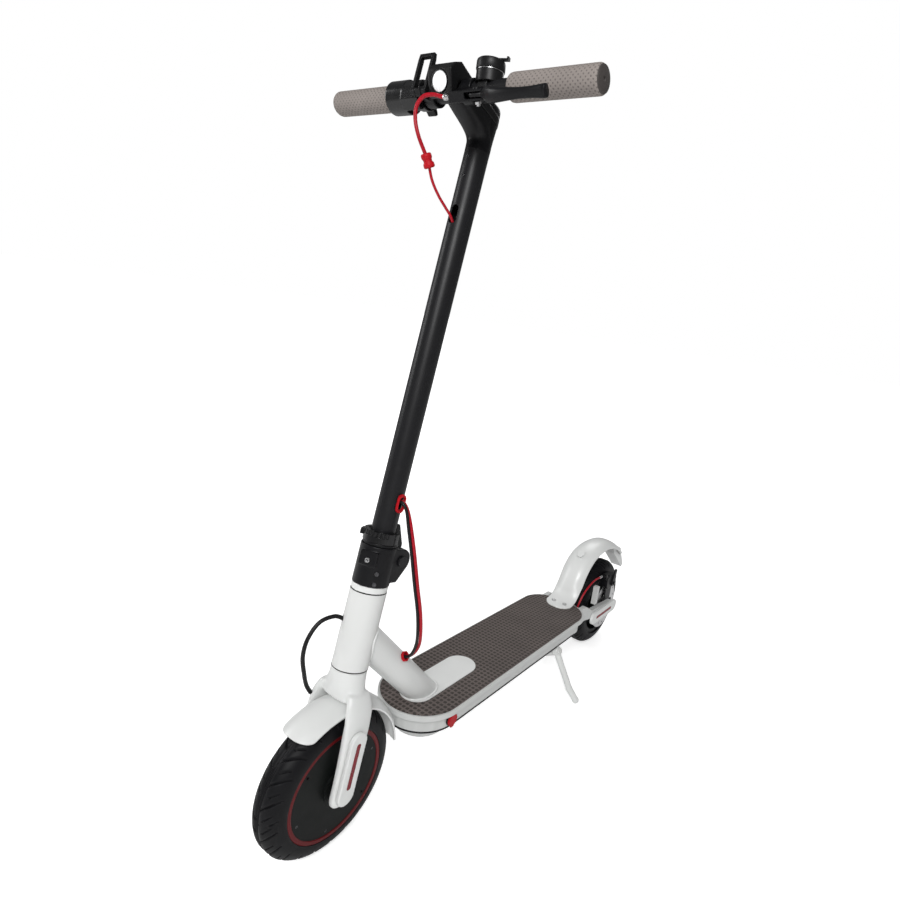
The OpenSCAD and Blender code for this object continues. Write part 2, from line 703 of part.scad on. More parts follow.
module fork_bolts() color("silver") {
  steer() {
    rotate([0, 0, 18]) translate([head_r + 1.8, 0, pin_z]) rotate([0, 90, 0]) cylinder(r = 3.4, h = 1.6);
    hinge_screws() difference() {
      cylinder(r = 3, h = 1.8);
      translate([0, 0, 0.8]) cylinder(r = 1.5, h = 2, $fn = 6);
    }
    at_fold_lever() translate([-12, 0, 0]) rotate([0, 90, 0]) cylinder(r = fold_pin_r, h = 24);
  }
}

// ---------------------------------------------------------------- stem
module stem_tube() color("black") {
  steer() difference() {
    translate([0, 0, stem_low]) cylinder(r = stem_r, h = stem_len);
    translate([0, 0, stem_low - 1]) cylinder(r = stem_r - stem_wall, h = stem_len + 2);
    // grommet of the lower cables, left side
    translate([0, 0, loop_top[2]]) rotate([-90, 0, 0]) linear_extrude(30) rotate(90) pill(-4, 4, 5.6);
    // slot of the brake cable, front
    translate([0, 0, slot_z]) rotate([0, 90, 0]) linear_extrude(30) pill(-7, 7, 6);
    for (z = screw_z) translate([0, 0, z]) rotate([0, 90, 0]) cylinder(r = 2.5, h = 30);
  }
}
slot_z = stem_high - 93;
screw_z = [stem_high - 13, stem_high - 39];
// The sloping seat of the display housing on the casting
seat_x = bar_ahead - 27.25;
function seat_z(x) = bar_z + 5.4 - (seat_x - x) * 7.4 / 60;
module casting_side() {
  polygon([[-stem_r, stem_high], [-stem_r, seat_z(-stem_r)], [seat_x, seat_z(seat_x)], [84, bar_z + 5.4],
    [86, bar_z - 16], [66, bar_z - 21], [44, bar_z - 27], [29, bar_z - 34], [stem_r, stem_high]]);
}
module top_casting() color("black") {
  steer() difference() {
    union() {
      intersection() {
        plate_y(-18, 18) casting_side();
        union() {
          translate([0, 0, stem_high]) cylinder(r = stem_r, h = 60);
          translate([0, -18, stem_high]) cube([120, 36, 60]);
        }
      }
      translate([0, 0, stem_high - 50]) cylinder(r = stem_r - stem_wall, h = 51);
    }
    translate([bar_ahead, 0, bar_z]) bar_y(bar_r, -30, 30);
    for (z = screw_z) translate([0, 0, z]) rotate([0, 90, 0]) {
      cylinder(r = 2 + run_fit, h = 30);
      translate([0, 0, stem_r - 3.2]) cylinder(r = 2.5, h = 10);
    }
    translate([0, 0, stem_high - 60]) cylinder(r = 9, h = 62);
  }
}
module stem_screws() color("silver") {
  steer() for (z = screw_z) translate([6, 0, z]) rotate([0, 90, 0]) {
    cylinder(r = 2, h = stem_r - 6 - 3);
    translate([0, 0, stem_r - 6 - 3]) difference() {
      cylinder(r = 2.4, h = 3.6);
      translate([0, 0, 2]) cylinder(r = 1.3, h = 3, $fn = 6);
    }
  }
}
module handlebar() color("black") {
  at_bar() ring_y(bar_r, bar_r - 1.8, -grip_end + 3.2, grip_end - 3.2);
}
module grip(length) {
  difference() {
    union() {
      bar_y(grip_r, grip_end - length + 6, grip_end - 2);
      bar_y(grip_r - 2, grip_end - length, grip_end);
    }
    bar_y(bar_r, grip_end - length - 1, grip_end - 3.2);
    bar_y(2.2, grip_end - 5, grip_end + 1);
  }
}
module grips() color("dimgray") {
  at_bar() {
    grip(grip_len);
    mirror([0, 1, 0]) grip(grip_len_right);
  }
}

// Cover over the casting, with the headlight's nose in front
nose_tilt = 23;
lens_at = [29.5, -2];
module dash_side() {
  translate([bar_ahead, bar_z]) polygon([[-bar_ahead - 16, -1.6], [-bar_ahead - 16, 9], [-10, 22], [18, 28],
    [29, 21], [35, 11], [23, -16], [16.5, -16], [14.2, 5.8], [-26, 5.8]]);
}
module dash_housing() color("black") {
  steer() difference() {
    plate_y(-19, 19) dash_side();
    translate([bar_ahead, 0, bar_z]) bar_y(bar_r + gap, -30, 30);
    translate([0, 0, stem_high - 5]) difference() {
      translate([-60, -60, 0]) cube([60, 120, 90]);
      cylinder(r = 19, h = 90);
    }
    translate([bar_ahead + lens_at[0] - 9, 0, bar_z + lens_at[1] + 4]) rotate([0, 90 + nose_tilt, 0])
      cylinder(r = 13.4, h = 30);
    button_place() translate([0, 0, -4]) cylinder(r = 6.3, h = 20);
    intersection() {
      translate([0, 0, -3]) plate_y(-15, 15) dash_side();
      translate([16, -15, bar_z]) cube([50, 30, 17]);
    }
  }
}
module headlight() color("white") {
  steer() translate([bar_ahead + lens_at[0] - 9, 0, bar_z + lens_at[1] + 4]) rotate([0, 90 + nose_tilt, 0]) {
    cylinder(r = 13.4, h = 6);
    translate([0, 0, 6]) cylinder(r = 13, h = 3.6);
  }
}
button_slope = atan2(13, 76);
module button_place() {
  translate([0, 0, bar_z + 11.9]) rotate([0, -button_slope, 0]) children();
}
module power_button() color("silver") {
  steer() button_place() translate([0, 0, -2.6]) cylinder(r = 6, h = 3.6);
}

// ---------------------------------------------------------------- controls
module throttle_body() color("black") {
  at_bar() difference() {
    union() {
      bar_y(21, -103, -72);
      bar_y(18, -54, -42);
      plate_y(-72.5, -42) polygon([[4, 17], [17, 12], [21, 2], [21, -14], [10, -24], [4, -20]]);
    }
    bar_y(bar_r, -110, -30);
    bar_y(17.1, -72, -54);
  }
}
module throttle_lever() color("black") {
  at_bar() difference() {
    union() {
      bar_y(16.6, -71.6, -54.4);
      plate_y(-71, -56) polygon([[-10, 8], [-30, 5], [-37, -3], [-35, -7], [-27, -3], [-8, -9]]);
    }
    bar_y(bar_r + 0.1, -80, -40);
    translate([3.4, -80, -30]) cube([30, 40, 60]);
  }
}
module catch_bracket() color("black") {
  at_bar() difference() {
    union() {
      bar_y(15.5, -40, -24);
      plate_y(-38, -29) polygon([[8, 10], [26, -4], [32, -10], [26, -16], [8, -13]]);
    }
    bar_y(bar_r, -50, -20);
    translate([26, 0, -10]) bar_y(2 + run_fit, -60, 0);
  }
}
loop_pivot = [26, -10];
module catch_loop() color("black") {
  at_bar() {
    difference() {
      plate_y(-46, -21) polygon([[22.5, -10], [22, 30], [23.5, 38], [28, 38], [29, 30], [29.5, -10]]);
      plate_y(-42, -25) polygon([[15, -16], [15, 33], [35, 33], [35, -16]]);
    }
    for (y = [-46, -28.6]) translate([loop_pivot[0], 0, loop_pivot[1]]) bar_y(4.2, y, y + 7.2);
    translate([loop_pivot[0], 0, loop_pivot[1]]) bar_y(2, -44, -24);
  }
}
module brake_perch() color("black") {
  at_bar() ring_y(15, bar_r, 21, 37);
  at_brake() difference() {
    translate([12, 19, -6]) cube([24, 52, 12]);
    bar_y(14.6, 37.2, 80);
    bar_y(bar_r, 10, 80);
    translate([22, 44, -3.6]) cube([20, 40, 7.2]);
    translate([lever_pivot[0], lever_pivot[1], -20]) cylinder(r = 2.5, h = 40);
    translate([30, 10, 0]) rotate([-90, 0, 0]) cylinder(r = 3, h = 36);
  }
  at_brake() translate([lever_pivot[0], lever_pivot[1], -7.5]) {
    cylinder(r = 2.5, h = 15);
    translate([0, 0, 13.5]) cylinder(r = 4, h = 2);
  }
  // cable adjuster
  at_brake() translate([30, 10, 0]) rotate([-90, 0, 0]) difference() {
    cylinder(r = 3, h = 16);
    translate([0, 0, -1]) cylinder(r = 1.5, h = 30);
  }
}
lever_pivot = [30, 60];
module brake_lever() color("black") {
  at_brake() difference() {
    union() {
      translate([0, 0, -3.3]) linear_extrude(6.6) {
        translate(lever_pivot) circle(6);
        polygon([[24, 58], [28, 50], [35, 50], [37, 60], [37, 76], [27, 76]]);
      }
      translate([0, 0, -8]) linear_extrude(16)
        polygon([[26, 73], [38, 73], [52, 96], [56, 122], [56, 172], [49, 172], [48.5, 122], [43, 100]]);
    }
    translate([lever_pivot[0], lever_pivot[1], -20]) cylinder(r = 2.5 + run_fit, h = 40);
  }
}
bell_y = 55;
module bell_body() color("black") {
  at_bar() difference() {
    union() {
      ring_y(14.4, bar_r, bell_y - 7, bell_y + 7);
      translate([0, bell_y, 0]) rotate([0, rake, 0]) {
        translate([0, 0, 6]) cylinder(r = 17, h = 13.4);
        translate([0, 0, 20.4]) cylinder(r = 18, h = 12.6);
        cylinder(r = 4, h = 33);
      }
    }
    bar_y(bar_r, bell_y - 30, bell_y + 30);
  }
}
module bell_lever() color("black") {
  at_bar() translate([0, bell_y, 0]) rotate([0, rake, 0]) translate([0, 0, 33.4]) difference() {
    union() {
      cylinder(r = 7, h = 2.6);
      rotate([0, 0, 105]) translate([0, -3, 0]) cube([23, 6, 2]);
      rotate([0, 0, 105]) translate([20.5, -3, 0]) cube([2.5, 6, 4]);
    }
    translate([0, 0, -1]) cylinder(r = 2 + run_fit, h = 5);
  }
}

// ---------------------------------------------------------------- cables
// Upper brake cable, from the adjuster to the slot in the stem
brake_route = [[93, 9.5, 926.6], [95, 3, 927.5], [98, -8, 928.5], [101, -19, 925], [101.5, -26, 913],
  [98, -26, 897], [90, -21, 879], [73, -13.5, 857], [60, -11, 838], [46, -7, 824], [32, -3, 814],
  [22, 0, 807], [13, 0, 800]];
clip_on = 7;         // the point of the cable's route that the clip sits on
clip_dir = unit(brake_route[clip_on - 1] - brake_route[clip_on + 1]);
module frame_grommets() color("red") {
  grommet_place() difference() {
    translate([0, 0, -5]) cylinder(r = grommet_r, h = 5.6);
    translate([0, 0, -6]) cylinder(r = grommet_r - 1, h = 8);
  }
  grommet_place() translate([0, 0, 0.6]) difference() {
    cylinder(r = 8, h = 4.4, $fn = 8);
    translate([0, 0, -1]) cylinder(r = grommet_r - 1, h = 8);
  }
}
module stem_grommets() color("red") {
  steer() translate([0, stem_r + 0.2, loop_top[2]]) rotate([-90, 0, 0]) difference() {
    linear_extrude(4) rotate(90) pill(-6, 6, 7.4);
    translate([0, 0, -1]) linear_extrude(8) rotate(90) pill(-4, 4, 5.4);
  }
  steer() translate(brake_route[clip_on]) rotate([0, acos(clip_dir[2]), atan2(clip_dir[1], clip_dir[0])])
    difference() {
      translate([0, 0, -8]) cylinder(r = 5.6, h = 16);
      translate([0, 0, -10]) cylinder(r = 3.2, h = 20);
    }
}
module stem_cables() color("red") {
  steer() cable(brake_route, cable_r, [0.5, 0.5, 1], 4);
  steer() cable(loop_route("upper", -loop_shift), cable_r, [0, 0, 1], 4);
  steer() color("black") cable(loop_route("upper", loop_shift), cable_r, [0, 0, 1], 4);
}
// The red and the black cable hang side by side in the lower loop; shift sets them apart
upper_loop = [[0, 13, 412], [0, 24, 411], [-4, 31, 401], [-9, 38, 380], [-19, 46, 346], [-32, 55, 301]];
lower_loop = [[-32.3, 55.2, 300], [-46, 61, 262], [-62, 59, 226], [-78, 49, 200], [-92.2, 32, 177],
  [-92, 21, 170.5], [-91.4, 14, 166.5]];
function loop_route(part, shift) =
  [for (p = part == "upper" ? upper_loop : lower_loop) p + [shift * 0.85, shift * 0.35, 0]];
module frame_cables() color("red") {
  steer() cable(loop_route("lower", -loop_shift), cable_r, [0, 0, 1], 4);
  steer() color("black") cable(loop_route("lower", loop_shift), cable_r, [0, 0, 1], 4);
  translate([rear_x, 0, axle_z]) cable(rear_route, 2, [0, 1, 0], 4);
}
rear_route = [[165, 36, 30], [158, 37, 52], [146, 39, 72], [126, 41, 88], [98, 42, 97],
  [68, 42, 96], [44, 42, 90]];

neck();
deck_tray();
deck_mat();
bottom_cover();
battery_pack();
controller();
charge_socket();
headset_bearings();
rear_fender();
fender_catch();
tail_light();
frame_screws();
arm_caps();
rear_reflectors();
rear_axle();
brake_caliper();
kickstand_bracket();
frame_grommets();
frame_cables();
caliper_arm();
kickstand();
charge_cap();
rear_rim();
rear_bearings();
rear_tyre();
brake_disc();
fork();
fork_trim();
front_reflectors();
front_fender();
motor_stator();
hinge_base();
hinge_pin();
fork_bolts();
motor_cable();
motor_shell();
motor_screws();
rim_rings();
front_tyre();
fold_lever();
safety_ring();
stem_tube();
hinge_upper();
top_casting();
stem_screws();
handlebar();
grips();
dash_housing();
headlight();
throttle_body();
brake_perch();
bell_body();
catch_bracket();
stem_grommets();
stem_cables();
throttle_lever();
brake_lever();
bell_lever();
catch_loop();
power_button();
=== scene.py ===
# %% [markdown]
# # Electric kick scooter
# The imported CAD model is the frame. Visible castings, covers, tyres, grips and cables get their own
# finished pieces, and every CAD node that stays gets a node material with fine detail.

# %% Load the frame
import bpy
import bmesh
import json
import math
from mathutils import Vector, Matrix


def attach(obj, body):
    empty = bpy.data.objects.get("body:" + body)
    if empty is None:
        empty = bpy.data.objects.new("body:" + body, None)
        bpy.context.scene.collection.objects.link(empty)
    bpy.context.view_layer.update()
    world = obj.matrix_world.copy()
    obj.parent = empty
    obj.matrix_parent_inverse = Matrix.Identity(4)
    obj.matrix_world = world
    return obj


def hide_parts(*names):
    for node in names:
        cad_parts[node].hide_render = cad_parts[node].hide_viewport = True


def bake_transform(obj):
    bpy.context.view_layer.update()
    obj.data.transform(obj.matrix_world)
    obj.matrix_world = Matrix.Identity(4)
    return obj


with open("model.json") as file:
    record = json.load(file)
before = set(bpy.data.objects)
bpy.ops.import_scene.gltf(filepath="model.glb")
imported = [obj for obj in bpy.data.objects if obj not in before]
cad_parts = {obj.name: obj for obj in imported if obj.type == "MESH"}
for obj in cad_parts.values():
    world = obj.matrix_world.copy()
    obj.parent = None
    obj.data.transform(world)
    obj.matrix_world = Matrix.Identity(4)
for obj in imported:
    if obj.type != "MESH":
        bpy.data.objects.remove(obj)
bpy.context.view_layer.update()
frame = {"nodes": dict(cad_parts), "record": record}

# %% [markdown]
# The steering axis leans back by the rake. Places on the fork and the stem are given in steering
# coordinates: u forward, y to the left, s up along the axis, all in millimetres.

# %% Frames of reference
RAKE = math.radians(11)
FRONT = Vector((0.439, 0, 0.108))
REAR = Vector((-0.410, 0, 0.108))
FORE = Vector((math.cos(RAKE), 0, math.sin(RAKE)))
ALONG = Vector((-math.sin(RAKE), 0, math.cos(RAKE)))
PIVOT = FRONT + FORE * 0.0055
BAR_U, BAR_S = 70.0, 945.9
TILT = math.radians(40)


def steer(u, y, s):
    return PIVOT + FORE * (u / 1000) + Vector((0, y / 1000, 0)) + ALONG * (s / 1000)


def at_bar(u, y, s):
    return steer(BAR_U + u, y, BAR_S + s)


def mm(x, y, z):
    return Vector((x, y, z)) / 1000


# %% [markdown]
# The camera stands ahead and to the left of the scooter, at about three quarters of the bar's height.

# %% Camera
cam_data = bpy.data.cameras.new("view_camera")
cam_data.lens = 24.31
cam_data.sensor_width = 36
cam_data.shift_x = -0.0730
cam_data.shift_y = -0.0114
cam = bpy.data.objects.new("view_camera", cam_data)
bpy.context.scene.collection.objects.link(cam)
right = Vector((-0.55139017, 0.82187738, 0.14313091))
up = Vector((-0.0812793, -0.22367708, 0.97126837))
back = Vector((0.8302786, 0.52391425, 0.19013496))
turn = Matrix((right, up, back)).transposed().to_4x4()
cam.matrix_world = Matrix.Translation((0.97087, 0.57173, 0.77980)) @ turn
bpy.context.scene.camera = cam

# %% [markdown]
# A pale floor, a key light ahead on the left, a fill on the right and a weaker one behind. The world is
# white to the camera and dimmer in reflections.

# %% Stage and light
floor_mesh = bpy.data.meshes.new("floor")
floor_mesh.from_pydata([(-60, -60, 0), (60, -60, 0), (60, 60, 0), (-60, 60, 0)], [], [(0, 1, 2, 3)])
floor = bpy.data.objects.new("floor", floor_mesh)
bpy.context.scene.collection.objects.link(floor)


LIT_POINT = Vector((0, 0, 0.4))     # all the lights are turned to this point


def light(name, place, size, power):
    data = bpy.data.lights.new(name, "AREA")
    data.shape = "RECTANGLE"
    data.size, data.size_y = size
    data.energy = power
    o = bpy.data.objects.new(name, data)
    aim = (LIT_POINT - Vector(place)).to_track_quat("-Z", "Y")
    o.matrix_world = Matrix.Translation(place) @ aim.to_matrix().to_4x4()
    bpy.context.scene.collection.objects.link(o)


light("key", (2.4, 1.4, 2.2), (1.0, 0.9), 66)
light("fill", (1.6, -2.6, 1.6), (0.8, 1.6), 26)
light("back", (-2.4, -0.6, 2.6), (1.6, 1.2), 24)
world = bpy.data.worlds.new("studio")
bpy.context.scene.world = world
world.use_nodes = True
sky = world.node_tree
sky.nodes["Background"].inputs["Color"].default_value = (1, 1, 1, 1)
seen = sky.nodes.new("ShaderNodeBackground")
seen.inputs["Color"].default_value = (1, 1, 1, 1)
seen.inputs["Strength"].default_value = 1.0
path = sky.nodes.new("ShaderNodeLightPath")
both = sky.nodes.new("ShaderNodeMixShader")
dim = sky.nodes.new("ShaderNodeMapRange")
dim.inputs["To Min"].default_value = 0.33
dim.inputs["To Max"].default_value = 0.16
sky.links.new(path.outputs["Is Glossy Ray"], dim.inputs["Value"])
sky.links.new(dim.outputs["Result"], sky.nodes["Background"].inputs["Strength"])
sky.links.new(path.outputs["Is Camera Ray"], both.inputs[0])
sky.links.new(sky.nodes["Background"].outputs[0], both.inputs[1])
sky.links.new(seen.outputs[0], both.inputs[2])
sky.links.new(both.outputs[0], sky.nodes["World Output"].inputs["Surface"])
bpy.context.scene.view_settings.view_transform = "Standard"

# %% [markdown]
# Materials are node groups of noise for tone, roughness and a fine bump. Object coordinates are used,
# so the grain has the same size on every piece.

# %% Materials
MATS = {}
DIMPLE_SHADE = 0.30     # how dark a pattern's dots are against the ground


def material(name, color, rough=0.4, metal=0.0, coat=0.0, tone=0.05, grain=900.0, bump=0.1,
             depth=0.0001, rough_var=0.06, edge_wear_and_highlight=0.0, edge_wear_and_highlight_color=(0.5, 0.5, 0.5), stretch=(1, 1, 1),
             pattern=None, glow=0.0, spec=0.5, soft_edge=0.0008):
    m = bpy.data.materials.new(name)
    m.use_nodes = True
    nt = m.node_tree
    b = nt.nodes["Principled BSDF"]
    coords = nt.nodes.new("ShaderNodeTexCoord")
    scale = nt.nodes.new("ShaderNodeMapping")
    scale.inputs["Scale"].default_value = stretch
    nt.links.new(coords.outputs["Object"], scale.inputs["Vector"])

    def noise(size, detail=3.0):
        n = nt.nodes.new("ShaderNodeTexNoise")
        n.inputs["Scale"].default_value = size
        n.inputs["Detail"].default_value = detail
        nt.links.new(scale.outputs["Vector"], n.inputs["Vector"])
        return n.outputs["Fac"]

    def blend_to(under, factor, over):
        mix = nt.nodes.new("ShaderNodeMix")
        mix.data_type = "RGBA"
        mix.inputs["B"].default_value = (*over, 1)
        nt.links.new(factor, mix.inputs["Factor"])
        nt.links.new(under, mix.inputs["A"])
        return mix.outputs["Result"]

    def ramp(fac, low, high, a=0.35, z=0.65):
        r = nt.nodes.new("ShaderNodeValToRGB")
        r.color_ramp.elements[0].position = a
        r.color_ramp.elements[1].position = z
        r.color_ramp.elements[0].color = (*low, 1)
        r.color_ramp.elements[1].color = (*high, 1)
        nt.links.new(fac, r.inputs["Fac"])
        return r.outputs["Color"]

    low = tuple(max(0, c * (1 - tone)) for c in color)
    high = tuple(min(1, c * (1 + tone)) for c in color)
    shade = ramp(noise(14.0), low, high)
    # Convex edges blend to another colour. This is partly real edge wear and partly a painted highlight
    # that lightens the edges of dark parts, such as the tyre's chevrons.
    if edge_wear_and_highlight > 0:
        geo = nt.nodes.new("ShaderNodeNewGeometry")
        edge = ramp(geo.outputs["Pointiness"], (0, 0, 0), (edge_wear_and_highlight,) * 3, 0.515, 0.56)
        shade = blend_to(shade, edge, edge_wear_and_highlight_color)
    height = noise(grain, 2.0)
    if pattern:
        height, dark = pattern(nt, coords, height)
        shade = blend_to(shade, dark, [c * DIMPLE_SHADE for c in color])
    nt.links.new(shade, b.inputs["Base Color"])
    rmap = nt.nodes.new("ShaderNodeMapRange")
    rmap.inputs["To Min"].default_value = max(0.02, rough - rough_var)
    rmap.inputs["To Max"].default_value = min(1.0, rough + rough_var)
    nt.links.new(noise(60.0), rmap.inputs["Value"])
    nt.links.new(rmap.outputs["Result"], b.inputs["Roughness"])
    bn = nt.nodes.new("ShaderNodeBump")
    bn.inputs["Strength"].default_value = bump
    bn.inputs["Distance"].default_value = depth
    nt.links.new(height, bn.inputs["Height"])
    if soft_edge:
        edge_normal = nt.nodes.new("ShaderNodeBevel")
        edge_normal.samples = 4
        edge_normal.inputs["Radius"].default_value = soft_edge
        nt.links.new(edge_normal.outputs["Normal"], bn.inputs["Normal"])
    nt.links.new(bn.outputs["Normal"], b.inputs["Normal"])
    b.inputs["Metallic"].default_value = metal
    b.inputs["Coat Weight"].default_value = coat
    b.inputs["Specular IOR Level"].default_value = spec
    b.inputs["Coat Roughness"].default_value = 0.12
    if glow:
        b.inputs["Emission Color"].default_value = (1, 1, 1, 1)
        b.inputs["Emission Strength"].default_value = glow
    MATS[name] = m
    return m


def chain(nt, op, *values):
    n = nt.nodes.new("ShaderNodeMath")
    n.operation = op
    for i, v in enumerate(values):
        if isinstance(v, (int, float)):
            n.inputs[i].default_value = v
        else:
            nt.links.new(v, n.inputs[i])
    return n.outputs[0]


def dots(source, pitch_a, pitch_b, radius, sign, stagger=True, square=False):
    """A staggered grid of round dots (sign 1) or dimples (sign -1) over two coordinates in metres."""
    def build(nt, coords, height):
        split = nt.nodes.new("ShaderNodeSeparateXYZ")
        nt.links.new(coords.outputs[source], split.inputs[0])
        a = chain(nt, "DIVIDE", split.outputs[0], pitch_a)
        b = chain(nt, "DIVIDE", split.outputs[1], pitch_b)
        if stagger:
            row = chain(nt, "MULTIPLY", chain(nt, "FLOORED_MODULO", chain(nt, "FLOOR", b), 2.0), 0.5)
            a = chain(nt, "ADD", a, row)
        fa = chain(nt, "MULTIPLY", chain(nt, "SUBTRACT", chain(nt, "FRACT", a), 0.5), pitch_a / radius)
        fb = chain(nt, "MULTIPLY", chain(nt, "SUBTRACT", chain(nt, "FRACT", b), 0.5), pitch_b / radius)
        power = 4.0 if square else 2.0
        d2 = chain(nt, "ADD", chain(nt, "POWER", chain(nt, "ABSOLUTE", fa), power),
                   chain(nt, "POWER", chain(nt, "ABSOLUTE", fb), power))
        inside = nt.nodes.new("ShaderNodeMapRange")
        inside.interpolation_type = "SMOOTHSTEP"
        inside.inputs["From Min"].default_value = 1.25
        inside.inputs["From Max"].default_value = 0.45
        nt.links.new(d2, inside.inputs["Value"])
        total = chain(nt, "ADD", chain(nt, "MULTIPLY", inside.outputs["Result"], float(sign)),
                      chain(nt, "MULTIPLY", height, 0.12))
        depth_of_shade = 0.35 if sign > 0 else 0.85 if square else 0.6
        return total, chain(nt, "MULTIPLY", inside.outputs["Result"], depth_of_shade)
    return build


material("floor_paper", (0.95, 0.95, 0.95), rough=0.9, tone=0.004, grain=300, bump=0.03, depth=0.0001,
         glow=0.42, soft_edge=0.0, spec=0.1)


def floor_glow(m):
    """The floor brightens to white away from the scooter, and its glow lights nothing."""
    nt = m.node_tree
    coords = nt.nodes.new("ShaderNodeTexCoord")
    far = nt.nodes.new("ShaderNodeVectorMath")
    far.operation = "LENGTH"
    nt.links.new(coords.outputs["Object"], far.inputs[0])
    grow = nt.nodes.new("ShaderNodeMapRange")
    grow.interpolation_type = "SMOOTHSTEP"
    grow.inputs["From Min"].default_value = 0.7
    grow.inputs["From Max"].default_value = 1.7
    grow.inputs["To Min"].default_value = 0.50
    grow.inputs["To Max"].default_value = 1.0
    nt.links.new(far.outputs["Value"], grow.inputs["Value"])
    ray = nt.nodes.new("ShaderNodeLightPath")
    seen_glow = chain(nt, "MULTIPLY", grow.outputs["Result"], ray.outputs["Is Camera Ray"])
    nt.links.new(seen_glow, nt.nodes["Principled BSDF"].inputs["Emission Strength"])


floor_glow(MATS["floor_paper"])
material("white_paint", (0.70, 0.71, 0.70), rough=0.36, coat=0.2, tone=0.015, grain=1600, bump=0.12,
         depth=0.00006, edge_wear_and_highlight=0.25, edge_wear_and_highlight_color=(0.62, 0.62, 0.61))
material("grey_paint", (0.50, 0.51, 0.50), rough=0.42, coat=0.15, tone=0.02, grain=1500, bump=0.16,
         depth=0.00008, edge_wear_and_highlight=0.25, edge_wear_and_highlight_color=(0.75, 0.75, 0.75))
material("black_paint", (0.0045, 0.0045, 0.0055), rough=0.38, spec=0.22, tone=0.12, grain=1900,
         bump=0.35, depth=0.00010, edge_wear_and_highlight=0.25, edge_wear_and_highlight_color=(0.03, 0.03, 0.032))
material("white_plastic", (0.72, 0.73, 0.72), rough=0.34, coat=0.1, tone=0.012, grain=700, bump=0.05,
         depth=0.00005)
material("black_plastic", (0.005, 0.005, 0.0055), rough=0.40, spec=0.25, tone=0.12, grain=2200,
         bump=0.5, depth=0.0001, edge_wear_and_highlight=0.2, edge_wear_and_highlight_color=(0.025, 0.025, 0.026))
material("gloss_black", (0.005, 0.005, 0.0055), rough=0.2, coat=0.15, spec=0.4, tone=0.1, grain=400,
         bump=0.03, depth=0.00005)
material("mat_rubber", (0.125, 0.104, 0.096), rough=0.72, tone=0.08, grain=1200, bump=0.9, depth=0.0009,
         pattern=dots("Object", 0.0092, 0.0080, 0.0030, -1, stagger=False, square=True), spec=0.25)
material("grip_rubber", (0.255, 0.225, 0.208), rough=0.7, tone=0.05, grain=1500, bump=0.8, depth=0.0005,
         pattern=dots("UV", 0.0062, 0.0032, 0.00105, -1), spec=0.3)
material("grip_end", (0.05, 0.043, 0.040), rough=0.6, tone=0.06, grain=1500, bump=0.3, depth=0.0002)
# The lighter edge colour is partly scuffing and partly a painted highlight on the tread's edges.
material("tyre_rubber", (0.0045, 0.0045, 0.0055), rough=0.5, spec=0.16, tone=0.15, grain=700,
         bump=0.25, depth=0.0002, edge_wear_and_highlight=0.2, edge_wear_and_highlight_color=(0.035, 0.035, 0.037))
material("red_rubber", (0.42, 0.004, 0.010), rough=0.5, spec=0.2, tone=0.06, grain=900, bump=0.1,
         depth=0.0001)
material("red_cable", (0.36, 0.003, 0.013), rough=0.34, spec=0.3, tone=0.05, grain=900, bump=0.06,
         depth=0.00006)
material("motor_black", (0.0055, 0.0065, 0.0062), rough=0.45, spec=0.12, tone=0.12, grain=1700,
         bump=0.5, depth=0.00014)
material("dark_red", (0.105, 0.002, 0.004), rough=0.4, spec=0.2, tone=0.1, grain=900, bump=0.08,
         depth=0.00006)
material("reflector_red", (0.19, 0.002, 0.010), rough=0.25, coat=0.1, spec=0.3, tone=0.12, grain=500,
         bump=0.05, depth=0.0001, pattern=dots("Object", 0.004, 0.004, 0.0016, 1))
material("steel", (0.56, 0.56, 0.565), rough=0.28, metal=1.0, tone=0.06, grain=500, bump=0.12,
         depth=0.00006, stretch=(1, 8, 1))
material("dark_steel", (0.10, 0.10, 0.105), rough=0.32, metal=1.0, tone=0.06, grain=500, bump=0.12,
         depth=0.00006)
material("lamp", (0.86, 0.88, 0.89), rough=0.12, coat=0.6, tone=0.03, grain=300, bump=0.4, depth=0.0003,
         glow=0.22, pattern=dots("Object", 0.0026, 0.0026, 0.0011, 1))
material("battery_wrap", (0.02, 0.07, 0.3), rough=0.35, tone=0.1, grain=60, bump=0.3, depth=0.0005)
material("circuit_case", (0.5, 0.52, 0.5), rough=0.4, metal=0.9, tone=0.08, grain=600, bump=0.2,
         depth=0.0001)
material("button", (0.05, 0.05, 0.055), rough=0.25, coat=0.4, tone=0.08, grain=600, bump=0.05,
         depth=0.00005)
# Matte black for the seams at the head tube: painted shade in the gaps.
material("seam_shade_black", (0.006, 0.006, 0.006), rough=0.9, tone=0.1, grain=300, bump=0.1, depth=0.0001)
floor_mesh.materials.append(MATS["floor_paper"])

slots = {p["node"]: p["material_slot"] for p in frame["record"]["subparts"]}
special = {"stem_screws": "dark_steel", "fork_bolts": "dark_steel", "motor_screws": "dark_steel"}
for node_name, obj in frame["nodes"].items():
    obj.data.materials.clear()
    obj.data.materials.append(MATS[special.get(node_name, slots[node_name])])
print("materials on", len(frame["nodes"]), "nodes")

# %% [markdown]
# Tools for making pieces: a mesh from lists, a swept tube, a turned shape, and rounded copies of the
# cast parts.

# %% Tools
def finish_mesh(o, angle=None):
    bm = bmesh.new()
    bm.from_mesh(o.data)
    bmesh.ops.recalc_face_normals(bm, faces=bm.faces)
    bm.to_mesh(o.data)
    bm.free()
    o.data.shade_smooth()
    if angle is not None:
        o.data.set_sharp_from_angle(angle=math.radians(angle))
    return o


